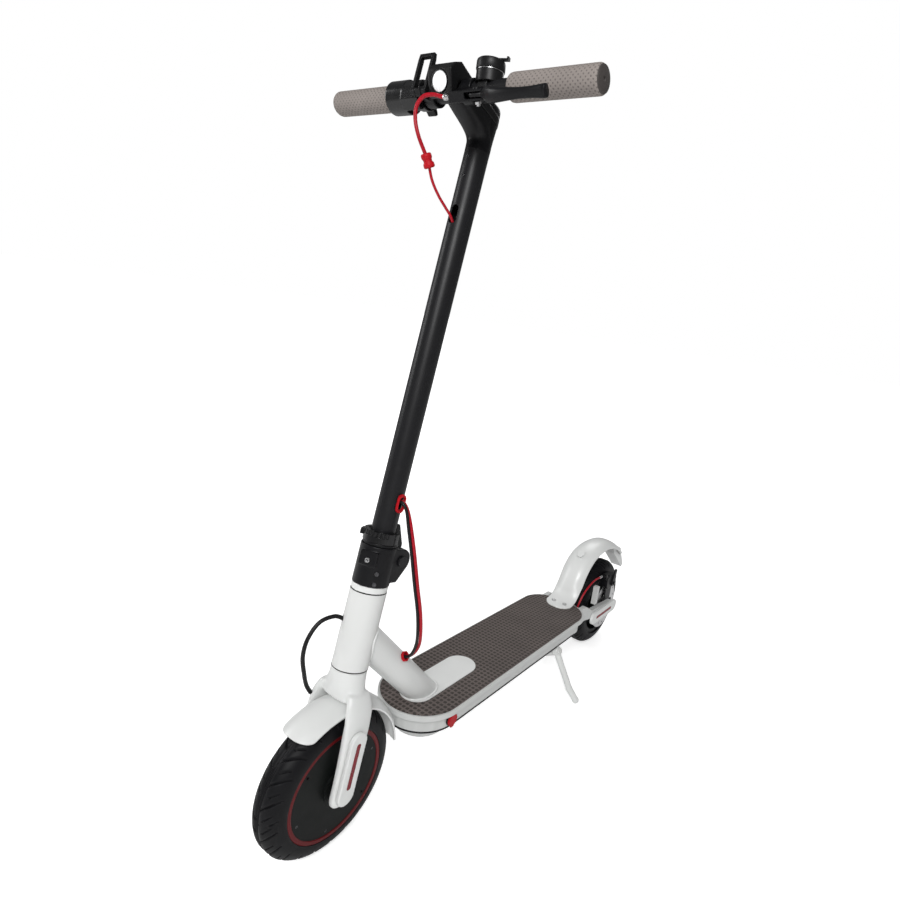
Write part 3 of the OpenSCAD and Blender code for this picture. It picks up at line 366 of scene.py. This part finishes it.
def mesh_object(name, verts, faces, mat, angle=None, uv=None):
    data = bpy.data.meshes.new(name)
    data.from_pydata([tuple(v) for v in verts], [], faces)
    o = bpy.data.objects.new(name, data)
    bpy.context.scene.collection.objects.link(o)
    data.materials.append(MATS[mat])
    if uv is not None:
        layer = data.uv_layers.new(name="plan")
        for loop in data.loops:
            layer.data[loop.index].uv = uv[loop.vertex_index]
    return finish_mesh(o, angle=angle)


def apply_modifiers(o):
    bpy.context.view_layer.update()
    done = bpy.data.meshes.new_from_object(o.evaluated_get(bpy.context.evaluated_depsgraph_get()))
    o.modifiers.clear()
    old = o.data
    o.data = done
    bpy.data.meshes.remove(old)
    return o


def round_edges(o, voxel, passes):
    re = o.modifiers.new("remesh", "REMESH")
    re.mode = "VOXEL"
    re.voxel_size = voxel
    sm = o.modifiers.new("smooth", "SMOOTH")
    sm.factor = 0.5
    sm.iterations = passes
    return apply_modifiers(o)


def smooth_route(points, steps):
    pts = [Vector(p) for p in points]
    out = []
    for i in range(len(pts) - 1):
        a, b, c, d = pts[max(0, i - 1)], pts[i], pts[i + 1], pts[min(len(pts) - 1, i + 2)]
        for k in range(steps):
            t = k / steps
            out.append(0.5 * (2 * b + (c - a) * t + (2 * a - 5 * b + 4 * c - d) * t * t
                              + (3 * b - a - 3 * c + d) * t ** 3))
    out.append(pts[-1])
    return out


def tube(name, points, radius, mat, sides=16, steps=8):
    """A round cable along a smooth route; radius may be a number or a list, one for each point."""
    path = smooth_route(points, steps)
    n = len(path)
    ups = None
    verts, faces = [], []
    for i, p in enumerate(path):
        d = (path[min(n - 1, i + 1)] - path[max(0, i - 1)]).normalized()
        if ups is None:
            ups = d.orthogonal().normalized()
        ups = (ups - d * ups.dot(d)).normalized()
        side = d.cross(ups)
        r = radius if isinstance(radius, (int, float)) else radius[min(len(radius) - 1, i // steps)]
        for j in range(sides):
            a = 2 * math.pi * j / sides
            verts.append(p + (ups * math.cos(a) + side * math.sin(a)) * r)
    for i in range(n - 1):
        for j in range(sides):
            k = (j + 1) % sides
            faces.append((i * sides + j, i * sides + k, (i + 1) * sides + k, (i + 1) * sides + j))
    faces.append(tuple(range(sides - 1, -1, -1)))
    faces.append(tuple(range((n - 1) * sides, n * sides)))
    return mesh_object(name, verts, faces, mat, angle=50)


def turned(name, profile, centre, axis, mat, segments=96, angle=35, uv=False):
    """A closed turned shape: profile is (radius, distance along the axis) in millimetres."""
    axis = Vector(axis).normalized()
    a = axis.orthogonal().normalized()
    b = axis.cross(a)
    verts, faces, spots = [], [], []
    m = len(profile)
    for i in range(segments):
        t = 2 * math.pi * i / segments
        ray = a * math.cos(t) + b * math.sin(t)
        for r, h in profile:
            verts.append(Vector(centre) + ray * (r / 1000) + axis * (h / 1000))
            spots.append((t * 0.0165, h / 1000))
    for i in range(segments):
        k = (i + 1) % segments
        for j in range(m):
            q = (j + 1) % m
            faces.append((i * m + j, i * m + q, k * m + q, k * m + j))
    return mesh_object(name, verts, faces, mat, angle=angle, uv=spots if uv else None)


def rounded(node, name, voxel, passes, keep):
    """A copy of a cast or moulded CAD node with its edges rounded off."""
    o = frame["nodes"][node].copy()
    o.data = frame["nodes"][node].data.copy()
    o.name = name
    for key in list(o.keys()):
        del o[key]
    o.parent = None
    o.matrix_world = Matrix.Identity(4)
    bpy.context.scene.collection.objects.link(o)
    weld = o.modifiers.new("weld", "WELD")
    weld.merge_threshold = 0.00001
    round_edges(o, voxel, passes)
    finish_mesh(o)
    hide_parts(node)
    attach(o, keep)
    return o


def place(o, body, *nodes, slot=None):
    if nodes:
        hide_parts(*nodes)
    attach(o, body)
    return o


# %% [markdown]
# Castings and mouldings with soft edges: covers, hinge, display housing and the controls.

# %% Rounded castings
for node_name, body, voxel, passes in (
    ("fork_trim", "fork", 0.0010, 5),
    ("hinge_base", "fork", 0.0009, 4),
    ("hinge_upper", "stem", 0.0009, 4),
    ("dash_housing", "stem", 0.0008, 6),
    ("brake_perch", "stem", 0.0007, 3),
    ("throttle_body", "stem", 0.0008, 3),
    ("throttle_lever", "throttle_lever", 0.0008, 4),
    ("catch_loop", "catch_loop", 0.0006, 3),
    ("catch_bracket", "stem", 0.0007, 3),
    ("fold_lever", "fold_lever", 0.0007, 4),
    ("brake_caliper", "frame", 0.0009, 4),
    ("arm_caps", "frame", 0.0009, 4),
    ("kickstand", "kickstand", 0.0010, 4),
    ("charge_cap", "charge_cap", 0.0006, 3),
    ("tail_light", "frame", 0.0010, 5),
    ("fender_catch", "frame", 0.0007, 3),
    ("stem_grommets", "stem", 0.0005, 3),
    ("frame_grommets", "frame", 0.0006, 2),
):
    o = rounded(node_name, node_name + "_soft", voxel, passes, keep=body)
    print(node_name, len(o.data.polygons), "faces")

# %% [markdown]
# Tyres: a round section with a ribbed crown and chevron grooves that reach down the shoulders.

# %% Tyres
TYRE_R, TYRE_MID, TYRE_SIDE = 108.0, 83.2, 26       # outside, middle of the section, its half width
WRAP = 127              # degrees of the section's circle on each side of the crown
BEAD_R = 81.0           # the tyre ends here, in the rim
CHEVRON_STEP, CHEVRON_DEPTH, RIB_DEPTH = 31.4, 2.3, 1.6


def tyre(name, centre, body, node):
    around, across = 900, 56
    verts, faces = [], []
    for i in range(around):
        t = 2 * math.pi * i / around
        for j in range(across + 1):
            phi = math.radians(-WRAP + 2 * WRAP * j / across)
            r = TYRE_MID + TYRE_SIDE * math.cos(phi)
            y = TYRE_SIDE * math.sin(phi)
            r = min(r, TYRE_R)
            arc = abs(y)
            lane = (t * TYRE_R / CHEVRON_STEP + (0.5 if y > 0 else 0.0)) % 1.0
            cut = 0.0
            if 3.5 < arc < 23.5 and r > 86:
                slope = (lane - (arc - 3.5) / 20 * 0.62) % 1.0
                if slope < 0.13:
                    cut = CHEVRON_DEPTH * min(1, slope / 0.035, (0.13 - slope) / 0.035)
                if 9 < arc < 19 and 0.46 < slope < 0.53:
                    cut = max(cut, 1.5)
            if abs(arc - 2.2) < 1.0:
                cut = max(cut, RIB_DEPTH)
            r -= cut
            if 61 < abs(math.degrees(phi)) < 64:
                r += 0.25
            ray = Vector((math.cos(t), 0, math.sin(t)))
            verts.append(centre + ray * (max(r, BEAD_R) / 1000) + Vector((0, y / 1000, 0)))
    m = across + 1
    for i in range(around):
        k = (i + 1) % around
        for j in range(across):
            faces.append((i * m + j, i * m + j + 1, k * m + j + 1, k * m + j))
        faces.append((i * m + across, i * m, k * m, k * m + across))
    o = mesh_object(name, verts, faces, "tyre_rubber", angle=40)
    return place(o, body, node, slot="tyre_rubber")


tyre("front_tyre_tread", FRONT, "front_wheel", "front_tyre")
ring_profile = [(74.4, 23), (74.6, 24.9), (75.4, 25.5), (80.2, 25.5), (80.8, 25), (80.8, 23)]
for sgn in (1, -1):
    o = turned("rim_ring", ring_profile, FRONT, (0, sgn, 0), "dark_red", segments=180)
    place(o, "front_wheel", "rim_rings", slot="dark_red")
tyre("rear_tyre_tread", REAR, "rear_wheel", "rear_tyre")
print("tyres made")

# %% [markdown]
# Grips: dimpled rubber sleeves with rounded shoulders and darker end plugs.

# %% Grips
for side, inner in ((1, 92.0), (-1, 104.0)):    # distance of the grip's inner end from the middle
    steps = [inner + (213.0 - inner) * k / 40 for k in range(41)]
    profile = [(11.2, side * inner), (14.6, side * inner), (15.9, side * (inner + 1.6)),
               (16.5, side * (inner + 5))]
    profile += [(16.5, side * y) for y in steps if inner + 6 < y < 209]
    profile += [(16.4, side * 210.5), (15.9, side * 212.2), (14.9, side * 213.2), (11.2, side * 213.2)]
    label = "left" if side > 0 else "right"
    o = turned("grip_" + label, profile, at_bar(0, 0, 0), (0, 1, 0), "grip_rubber", uv=True)
    place(o, "stem", *(("grips",) if side > 0 else ()), slot="grip_rubber")
    cap = turned("grip_plug_" + label,
                 [(0.0, side * 212.2), (14.4, side * 212.2), (14.9, side * 213.2), (14.6, side * 214.4),
                  (13.4, side * 215.0), (2.6, side * 215.0), (2.2, side * 213.4), (0.0, side * 213.4)],
                 at_bar(0, 0, 0), (0, 1, 0), "grip_end")
    place(cap, "stem", slot="grip_rubber")

# %% [markdown]
# Fenders: curved shells drawn along their wheels. The rear one runs down into a flat tongue that is
# screwed to the deck, and its inside faces are painted black as shade.

# %% Fenders
def shell(name, path, normals, half, drop, thick, body, node, power=2.3, inner=None):
    """A crowned strip along a path. Half and drop give a number in millimetres for each point."""
    verts, faces = [], []
    mat, across = "white_plastic", 28
    n, m = len(path), across + 1
    for layer in (0, 1):
        for i in range(n):
            for j in range(m):
                v = math.sin(math.pi / 2 * (-1 + 2 * j / across))
                sink = drop[i] * abs(v) ** power + thick * layer
                y = half[i] * v * (1 - 0.02 * layer)
                verts.append(path[i] - normals[i] * (sink / 1000) + Vector((0, y / 1000, 0)))

    def at(layer, i, j):
        return layer * n * m + i * m + j

    for i in range(n - 1):
        for j in range(m - 1):
            faces.append((at(0, i, j), at(0, i, j + 1), at(0, i + 1, j + 1), at(0, i + 1, j)))
            faces.append((at(1, i, j), at(1, i + 1, j), at(1, i + 1, j + 1), at(1, i, j + 1)))
        for j in (0, m - 1):
            faces.append((at(0, i, j), at(0, i + 1, j), at(1, i + 1, j), at(1, i, j)))
    for j in range(m - 1):
        for i in (0, n - 1):
            faces.append((at(0, i, j), at(0, i, j + 1), at(1, i, j + 1), at(1, i, j)))
    o = mesh_object(name, verts, faces, mat)
    # The inside faces get the inner material. This is painted shade: black, where the real inside is
    # white plastic.
    if inner:
        o.data.materials.append(MATS[inner])
        for k in inner_faces(n, m):
            o.data.polygons[k].material_index = 1
    bev = o.modifiers.new("lip", "BEVEL")
    bev.width = 0.0009
    bev.segments = 3
    bev.limit_method = "ANGLE"
    bev.angle_limit = math.radians(50)
    apply_modifiers(o)
    finish_mesh(o, angle=60)
    return place(o, body, node, slot=mat)


def inner_faces(n, m):
    """Indices of the faces on the inside of a shell of n by m points."""
    found = set()
    k = 0
    for i in range(n - 1):
        for j in range(m - 1):
            found.add(k + 1)
            k += 2
        k += 2
    return found


def ends(t, length, blunt):
    """Narrows a strip towards a rounded end: t is the distance from the end."""
    if t >= length:
        return 1.0
    return max(0.02, (1 - (1 - t / length) ** blunt)) ** (1 / blunt)


def arc_path(centre, radius, start, stop, count):
    pts, nor = [], []
    for i in range(count):
        a = math.radians(start + (stop - start) * i / (count - 1))
        d = Vector((math.cos(a), 0, math.sin(a)))
        pts.append(centre + d * (radius / 1000))
        nor.append(d)
    return pts, nor


count = 120
fender_from, fender_to = 56, 178        # degrees round the axle, from straight ahead
pts, nor = arc_path(FRONT, 123.6, fender_from, fender_to, count)
arc = [math.radians(fender_to - fender_from) * 124 * i / (count - 1) for i in range(count)]
FENDER_HALF = 29
half = [FENDER_HALF * ends(a + 0.6, 20, 2.3) * ends(arc[-1] - a + 0.6, 11, 2.4) for a in arc]
half = [h - 2.5 * max(0, (a - 120) / 145) for h, a in zip(half, arc)]
drop = [12.5 * (h / FENDER_HALF) ** 2.3 for h in half]
shell("front_fender_shell", pts, nor, half, drop, 2.6, "fork", "front_fender")

line = [mm(x, 0, z) for x, z in ((-201, 159.4), (-214, 159.6), (-228, 161), (-239, 167), (-247, 178),
        (-254, 196), (-264, 217), (-277, 236), (-295, 253), (-316, 265.5), (-338, 272.5), (-361, 276.5),
        (-391, 277), (-421, 272.5), (-450, 262), (-476, 249), (-490, 241))]
path_points = smooth_route(line, 7)
nor = []
for i, p in enumerate(path_points):
    d = (path_points[min(len(path_points) - 1, i + 1)] - path_points[max(0, i - 1)]).normalized()
    nor.append(Vector((d.z, 0, -d.x)))
dist = [0.0]
for i in range(1, len(path_points)):
    dist.append(dist[-1] + (path_points[i] - path_points[i - 1]).length * 1000)
half = [31.5 * ends(d + 0.8, 27, 2.0) for d in dist]
half = [h + 1.0 * min(1, max(0, (d - 60) / 60)) for h, d in zip(half, dist)]
drop = [0.6 + 13.5 * min(1, max(0, (d - 22) / 55)) ** 1.3 for d in dist]
# The rear fender's inside is painted black as the shade under the shell.
shell("rear_fender_shell", path_points, nor, half, drop, 2.8, "frame", "rear_fender", power=2.5,
      inner="black_plastic")
print("fenders made")

# %% [markdown]
# Brake lever: an eye between the perch's ears, then a blade that swells and flares at its tip.

# %% Brake lever
def at_brake(u, y, w):
    c, s_ = math.cos(TILT), math.sin(TILT)
    return at_bar(u * c + w * s_, y, -u * s_ + w * c)


def lofted(name, stations, place_at, mat, around=28, power=2.6, steps=4):
    """Superellipse sections (y, centre u, half u, half w, centre w) joined into one smooth body."""
    rows = []
    for i in range(len(stations) - 1):
        a, b = stations[max(0, i - 1)], stations[i]
        c, d = stations[i + 1], stations[min(len(stations) - 1, i + 2)]
        for k in range(steps):
            t = k / steps
            rows.append([0.5 * (2 * q + (r - p) * t + (2 * p - 5 * q + 4 * r - e) * t * t
                                + (3 * q - p - 3 * r + e) * t ** 3) for p, q, r, e in zip(a, b, c, d)])
    rows.append(list(stations[-1]))
    verts, faces = [], []
    for row in rows:
        y, u, hu, hw, w = row[:5]
        power = row[5] if len(row) > 5 else power
        for j in range(around):
            a = 2 * math.pi * j / around
            ca, sa = math.cos(a), math.sin(a)
            du = hu * math.copysign(abs(ca) ** (2 / power), ca)
            dw = hw * math.copysign(abs(sa) ** (2 / power), sa)
            verts.append(place_at(u + du, y, w + dw))
    for i in range(len(rows) - 1):
        for j in range(around):
            k = (j + 1) % around
            faces.append((i * around + j, i * around + k, (i + 1) * around + k, (i + 1) * around + j))
    faces.append(tuple(range(around - 1, -1, -1)))
    faces.append(tuple(range((len(rows) - 1) * around, len(rows) * around)))
    return mesh_object(name, verts, faces, mat, angle=50)


stations = [(50, 30, 2.5, 2.6, 0), (51.2, 30, 4.6, 3.2, 0), (54, 30, 5.6, 3.3, 0), (60, 30, 6, 3.3, 0),
            (68, 30.6, 6, 3.3, 0), (72, 31.6, 6.4, 4.9, 0), (77, 34, 7.6, 8.0, 0),
            (86, 40, 8.2, 9.6, 0),
            (98, 46.2, 7.4, 8.6, 0), (114, 50.2, 6.0, 7.2, 0), (132, 51.8, 5.0, 6.0, 0),
            (148, 52.2, 4.7, 5.9, 0), (160, 52.4, 5.0, 6.5, 0), (168, 52.6, 5.5, 7.2, 0),
            (171.2, 52.6, 5.4, 7.1, 0), (172, 52.6, 4.9, 6.6, 0)]
o = lofted("brake_lever_blade", stations, at_brake, "black_paint")
place(o, "brake_lever", "brake_lever", slot="black_paint")

# %% [markdown]
# Bell: clamp ring, base, a fine bright line and the dome.

# %% Bell
bell = at_bar(0, 0, 0) + mm(0, 55, 0)
o = turned("bell_clamp", [(11.2, -7), (13.9, -7), (14.4, -6.4), (14.4, 6.4), (13.9, 7), (11.2, 7)],
           bell, (0, 1, 0), "black_plastic")
place(o, "stem", slot="gloss_black")
o = turned("bell_dome", [(0, 6), (16.2, 6), (17, 6.8), (17, 19.0), (16.3, 19.6), (16.3, 20.3),
                         (17.6, 20.7), (18, 21.5), (18, 29.8), (17.5, 31.6), (16.2, 32.7), (14.6, 33),
                         (0, 33)], bell, (0, 0, 1), "black_plastic", angle=30)
place(o, "stem", "bell_body", slot="black_plastic")
o = turned("bell_line", [(16.2, 19.6), (17.3, 19.6), (17.3, 20.4), (16.2, 20.4)], bell, (0, 0, 1),
           "steel")
place(o, "stem", slot="steel")

# %% [markdown]
# Fork: a crown that flows into two legs, joined and smoothed as one casting. The top casting swells
# from the tube's neck into the clamp, with a column behind it.

# %% Fork and top casting
def joined(name, objs, voxel, passes, mat):
    bm = bmesh.new()
    for o in objs:
        bm.from_mesh(o.data)
        bpy.data.objects.remove(o)
    data = bpy.data.meshes.new(name)
    bm.to_mesh(data)
    bm.free()
    o = bpy.data.objects.new(name, data)
    bpy.context.scene.collection.objects.link(o)
    round_edges(o, voxel, passes)
    o.data.materials.clear()
    o.data.materials.append(MATS[mat])
    return finish_mesh(o)


def by_height(u, s_, y):
    return steer(u, y, s_)


crown = [(124.6, -0.5, 20.6, 42.0, 0, 2.0), (129, -0.4, 20.8, 39.6, 0, 2.0),
         (134, -0.2, 21.2, 36.6, 0, 2.0), (141, 0, 22.2, 32.8, 0, 2.0),
         (149, 0, 23.5, 29.2, 0, 2.0), (157, 0, 24.8, 26.8, 0, 2.0), (163, 0, 25.5, 26, 0, 2),
         (166.8, 0, 25.7, 25.7, 0, 2)]
parts = [lofted("crown", crown, by_height, "white_paint", around=64, steps=6)]
for sgn in (1, -1):
    leg = [(-19, -2, 9.5, 5.4, 38.6), (-17.5, -2, 13.6, 6.4, 38.7), (-13.2, -2, 16.6, 7.0, 38.75),
           (-6, -2, 17.8, 7.25, 38.75), (10, -2, 18.2, 7.25, 38.75), (40, -1.9, 19.4, 7.25, 38.75),
           (65, -1.6, 21.0, 7.25, 38.75), (86, -1.2, 22.6, 7.3, 38.7), (102, -0.8, 23.6, 7.4, 38.2),
           (113, -0.5, 23.8, 7.8, 36.9), (123, -0.3, 22.8, 8.6, 34.4), (132, -0.2, 20.6, 9.0, 31),
           (139, -0.2, 18.6, 9.0, 27)]
    leg = [(a, b, c, d, sgn * e, 3.0 if a < 90 else 2.3) for a, b, c, d, e in leg]
    parts.append(lofted("leg", leg, by_height, "white_paint", around=48, steps=6))
o = joined("fork_casting", parts, 0.0013, 22, "white_paint")
place(o, "fork", "fork", slot="white_paint")
neckline = [(903, 0, 17.35, 17.35, 0, 2.0), (910, 0, 17.4, 17.4, 0, 2.0),
            (916, 0.4, 17.8, 17.5, 0, 2.0), (921, 2.2, 19.6, 17.6, 0, 2.05),
            (925, 5.6, 23.0, 17.7, 0, 2.15), (928.5, 10.2, 27.6, 17.8, 0, 2.25),
            (932, 16.2, 33.5, 18, 0, 2.4), (935.5, 22.6, 39.9, 18, 0, 2.6),
            (939, 28.0, 45.3, 18, 0, 2.8), (942, 31.4, 48.7, 18, 0, 3.0),
            (945.5, 33.4, 50.7, 18, 0, 3.2), (949, 33.8, 50.9, 17.6, 0, 3.4),
            (951.2, 33.6, 49.6, 16.6, 0, 3.4)]
o = lofted("top_casting_body", neckline, by_height, "black_paint", around=72, steps=5)
place(o, "stem", "top_casting", slot="black_paint")
column = [(906, 0, 17.0, 17.0, 0, 2.0), (925, 0.3, 17.6, 17.3, 0, 2.1), (945, 1.0, 18.4, 17.9, 0, 2.3),
          (960, 1.6, 18.9, 17.9, 0, 2.5), (966, 2, 18.6, 17.3, 0, 2.5), (969, 2.4, 17.4, 16.0, 0, 2.4),
          (970.5, 2.6, 15.4, 14.0, 0, 2.3)]
o = lofted("top_casting_back", column, by_height, "black_paint", around=64, steps=5)
place(o, "stem", slot="black_paint")

# %% [markdown]
# Headlight with a bezel, the adjuster barrel and nut of the brake lever, the hinge's bright screw, the
# power button and the lens of the tail light.

# %% Headlight, small metal parts, button and tail lens
lamp_at = steer(90.5, 0, 947.9)
NOSE_TILT = math.radians(23)
lamp_dir = FORE * math.cos(NOSE_TILT) - ALONG * math.sin(NOSE_TILT)
o = turned("headlight_bezel", [(11.9, 4), (11.9, 9.6), (12.3, 10.3), (13.0, 10.3), (13.4, 9.6),
                               (13.4, 0), (11.9, 0)], lamp_at, lamp_dir, "gloss_black")
place(o, "stem", slot="gloss_black")
o = turned("headlight_lens", [(0, 7), (11.8, 7), (11.8, 9.0), (10.6, 9.6), (8, 10.1), (4, 10.5),
                              (0, 10.6)], lamp_at, lamp_dir, "lamp", angle=60)
place(o, "stem", "headlight", slot="lamp")
along_y = Vector((0, 1, 0))
o = turned("adjuster_barrel", [(2.5, 8.5), (3.4, 8.5), (3.8, 9.2), (3.8, 13.4), (3.4, 14), (3.0, 14),
                               (3.0, 19), (2.5, 19)], at_brake(30, 0, 0), along_y, "steel", segments=40)
place(o, "stem", slot="steel")
pin_axis = (at_brake(30, 60, -1) - at_brake(30, 60, 0)).normalized()
o = turned("lever_nut", [(0, 7.4), (4.2, 7.4), (4.2, 10.4), (2.6, 10.4), (2.6, 12.6), (0, 12.6)],
           at_brake(30, 60, 0), pin_axis, "steel", segments=6, angle=20)
place(o, "stem", slot="steel")
PLATE_TURN = math.radians(18)
plate_dir = FORE * math.cos(PLATE_TURN) + along_y * math.sin(PLATE_TURN)
o = turned("plate_screw", [(0, 27.6), (3.5, 27.6), (3.5, 29.3), (3.0, 29.7), (1.6, 29.7), (1.5, 28.9),
                           (0, 28.9)], steer(0, 0, 326.2), plate_dir, "steel", segments=40)
place(o, "fork", slot="steel")

BUTTON_SCALE = 0.88     # the button sits in its well with room all round
o = rounded("power_button", "power_button_soft", 0.0004, 3, keep="power_button")
press = next(j for j in frame["record"]["behaviour"]["joints"] if j["name"] == "power_button_press")
push = Vector(press["axis"]).normalized()
middle = sum((v.co for v in o.data.vertices), Vector()) / len(o.data.vertices)
for v in o.data.vertices:
    along = push * (v.co - middle).dot(push)
    v.co = middle + along + (v.co - middle - along) * BUTTON_SCALE
TAIL_TURN = math.radians(122)
tail_dir = Vector((-math.sin(TAIL_TURN), 0, math.cos(TAIL_TURN)))
o = turned("tail_lens", [(0, -2), (8.3, -2), (8.3, 7), (7.4, 8.4), (5.5, 9.6), (3, 10.3), (0, 10.6)],
           REAR + Vector((-0.110, 0, 0.104)), tail_dir, "reflector_red", segments=48, angle=60)
place(o, "frame", slot="reflector_red")

# %% [markdown]
# A dark tube runs round the deck between the tray's walls and the cover below. It is painted shade
# under the tray's edge.

# %% Painted shade line round the deck
SHADE_LINE_Y, SHADE_LINE_Z, NOSE_X = 65.6, 120.6, 239.5
along_side = (-188, -120, -40, 60, 150, 210, 238)
edge = [mm(x, SHADE_LINE_Y, SHADE_LINE_Z) for x in along_side]
edge += [mm(NOSE_X + SHADE_LINE_Y * math.sin(math.radians(a)), SHADE_LINE_Y * math.cos(math.radians(a)),
            SHADE_LINE_Z) for a in range(10, 180, 10)]
edge += [mm(x, -SHADE_LINE_Y, SHADE_LINE_Z) for x in reversed(along_side)]
# A black tube painted as the line of shade under the tray's edge.
o = tube("deck_shade_line", edge, 0.0017, "black_plastic", sides=10, steps=3)
place(o, "frame", slot="black_plastic")

# %% [markdown]
# Weld beads where the sloping tube meets the head tube and the island, and dark rings painted as the
# shade in the seams above and below the head tube.

# %% Welds and seams
FOOT = mm(248, 0, 157)
JOIN = mm(403, 0, 321)
TUBE_R, HEAD_R = 0.024, 0.026
down = (JOIN - FOOT).normalized()
side_a = Vector((0, 1, 0))
side_b = down.cross(side_a)


def weld(name, inside, low, high, radius):
    """A rippled bead where the tube's wall enters a solid, found by halving between low and high."""
    ring = []
    for i in range(72):
        a = 2 * math.pi * i / 72
        edge = (side_a * math.cos(a) + side_b * math.sin(a)) * TUBE_R
        lo, hi = low, high
        for _ in range(30):
            mid = (lo + hi) / 2
            if inside(FOOT + down * mid + edge):
                hi = mid
            else:
                lo = mid
        r = radius * (1 + 0.10 * math.sin(a * 24))
        ring.append((FOOT + down * lo + edge, r))
    verts, faces = [], []
    n, sides = len(ring), 10
    for i, (p, r) in enumerate(ring):
        d = (ring[(i + 1) % n][0] - ring[i - 1][0]).normalized()
        out = (p - (FOOT + down * (p - FOOT).dot(down))).normalized()
        out = (out - d * out.dot(d)).normalized()
        other = d.cross(out)
        for j in range(sides):
            a = 2 * math.pi * j / sides
            verts.append(p + (out * math.cos(a) + other * math.sin(a)) * r)
    for i in range(n):
        k = (i + 1) % n
        for j in range(sides):
            q = (j + 1) % sides
            faces.append((i * sides + j, i * sides + q, k * sides + q, k * sides + j))
    return place(mesh_object(name, verts, faces, "white_paint"), "frame", slot="white_paint")


def in_head(p):
    d = p - PIVOT
    return (d - ALONG * d.dot(ALONG)).length < HEAD_R


weld("weld_head", in_head, 0.10, 0.2256, 0.0024)
weld("weld_island", lambda p: p.z > 0.158, -0.03, 0.06, 0.0028)
# Thin black rings fill the seams as painted shade.
o = turned("seam_low", [(20, 167.0), (26.15, 167.0), (26.15, 168.2), (20, 168.2)],
           PIVOT, ALONG, "seam_shade_black")
place(o, "frame", slot="black_plastic")
o = turned("seam_high", [(20, 279.0), (25.5, 279.0), (25.5, 280.1), (20, 280.1)],
           PIVOT, ALONG, "seam_shade_black")
place(o, "fork", slot="black_plastic")

# %% [markdown]
# Cables: the loop by the hinge and the motor's lead bend when the bars turn, but here they are drawn in
# place and belong to no body. Each run is a list of points in steering coordinates. The rear one
# starts at the rear axle.

# %% Cables
motor = [(18.5, -14, 232.5), (30, -22, 235), (48, -29, 226), (60, -31, 204), (60, -32, 178),
         (48, -34, 150), (36, -37, 130), (24, -38, 116)]
brake = [(93, 9.5, 926.6), (95, 3, 927.5), (98, -8, 928.5), (101, -19, 925), (101.5, -26, 913),
         (98, -26, 897), (90, -21, 879), (73, -13.5, 857), (60, -11, 838), (46, -7, 824), (32, -3, 814),
         (22, 0, 807), (13, 0, 800)]
upper = [(0, 13, 412), (0, 24, 411), (-4, 31, 401), (-9, 38, 380), (-19, 46, 346), (-32, 55, 301)]
lower = [(-32, 55, 301), (-46, 61, 262), (-62, 59, 226), (-78, 49, 200), (-92.2, 32, 177),
         (-92, 21, 170.5), (-91.4, 14, 166.5)]
rear_run = [(165, 36, 30), (158, 37, 52), (146, 39, 72), (126, 41, 88), (98, 42, 97), (68, 42, 96)]
o = tube("motor_lead", [steer(*p) for p in motor], 0.003, "black_plastic", steps=10)
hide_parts("motor_cable")
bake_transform(o)
o = tube("brake_cable_upper", [steer(*p) for p in brake], [0.0025] * 7 + [0.0019] * 6, "red_cable",
         steps=10)
place(o, "stem", "stem_cables", slot="red_cable")
full = upper + lower[1:]
clip_at, clip_up, clip_down = (steer(*brake[i]) for i in (7, 6, 8))
o = turned("cable_clip", [(2.6, -9), (5.4, -9), (6.9, -8.2), (7.4, -6.6), (7.2, -3.4), (5.9, -1.6),
                          (5.6, 0), (5.9, 1.6), (7.0, 3.2), (7.1, 6.8), (6.4, 8.4), (5.2, 9), (2.6, 9)],
           clip_at, (clip_up - clip_down).normalized(), "red_rubber", segments=24, angle=50)
place(o, "stem", slot="red_rubber")
RED_SIDE = [(0.85, 0.35)] * 2 + [(0.8, 0.2), (0.7, -0.4), (0.54, -0.66)] + [(0.52, -0.7)] * 2
RED_SIDE += [(0.54, -0.68), (0.7, -0.5), (0.85, 0.1)] + [(0.85, 0.35)] * 2
SPLIT = len(upper) - 1      # the point where the upper half of the loop meets the lower one
LOOP_SHIFT, LOOP_R, LOOP_STEPS = 2.7, 0.0023, 6
for label, shift, mat in (("red", -LOOP_SHIFT, "red_cable"), ("black", LOOP_SHIFT, "black_plastic")):
    pts = [steer(u + shift * a, y + shift * b, s) for (u, y, s), (a, b) in zip(full, RED_SIDE)]
    path = smooth_route(pts, LOOP_STEPS)
    half = SPLIT * LOOP_STEPS
    top = tube("loop_upper_" + label, path[:half + 1], LOOP_R, mat, steps=1)
    low = tube("loop_lower_" + label, path[half:], LOOP_R, mat, steps=1)
    if label == "red":
        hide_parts("frame_cables")
    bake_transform(top)
    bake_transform(low)
pts = [REAR + Vector(p) / 1000 for p in rear_run]
o = tube("rear_brake_cable", pts, 0.002, "red_cable", steps=10)
place(o, "frame", slot="red_cable")
o = turned("rear_cable_ferrule", [(0, 0), (2.6, 0), (2.9, 1), (2.9, 12), (2.2, 14), (0, 14)],
           pts[-1] + Vector((0.005, 0, 0)), (-1, 0, 0), "steel", segments=32)
place(o, "frame", slot="steel")
print("cables made")

bpy.context.view_layer.update()
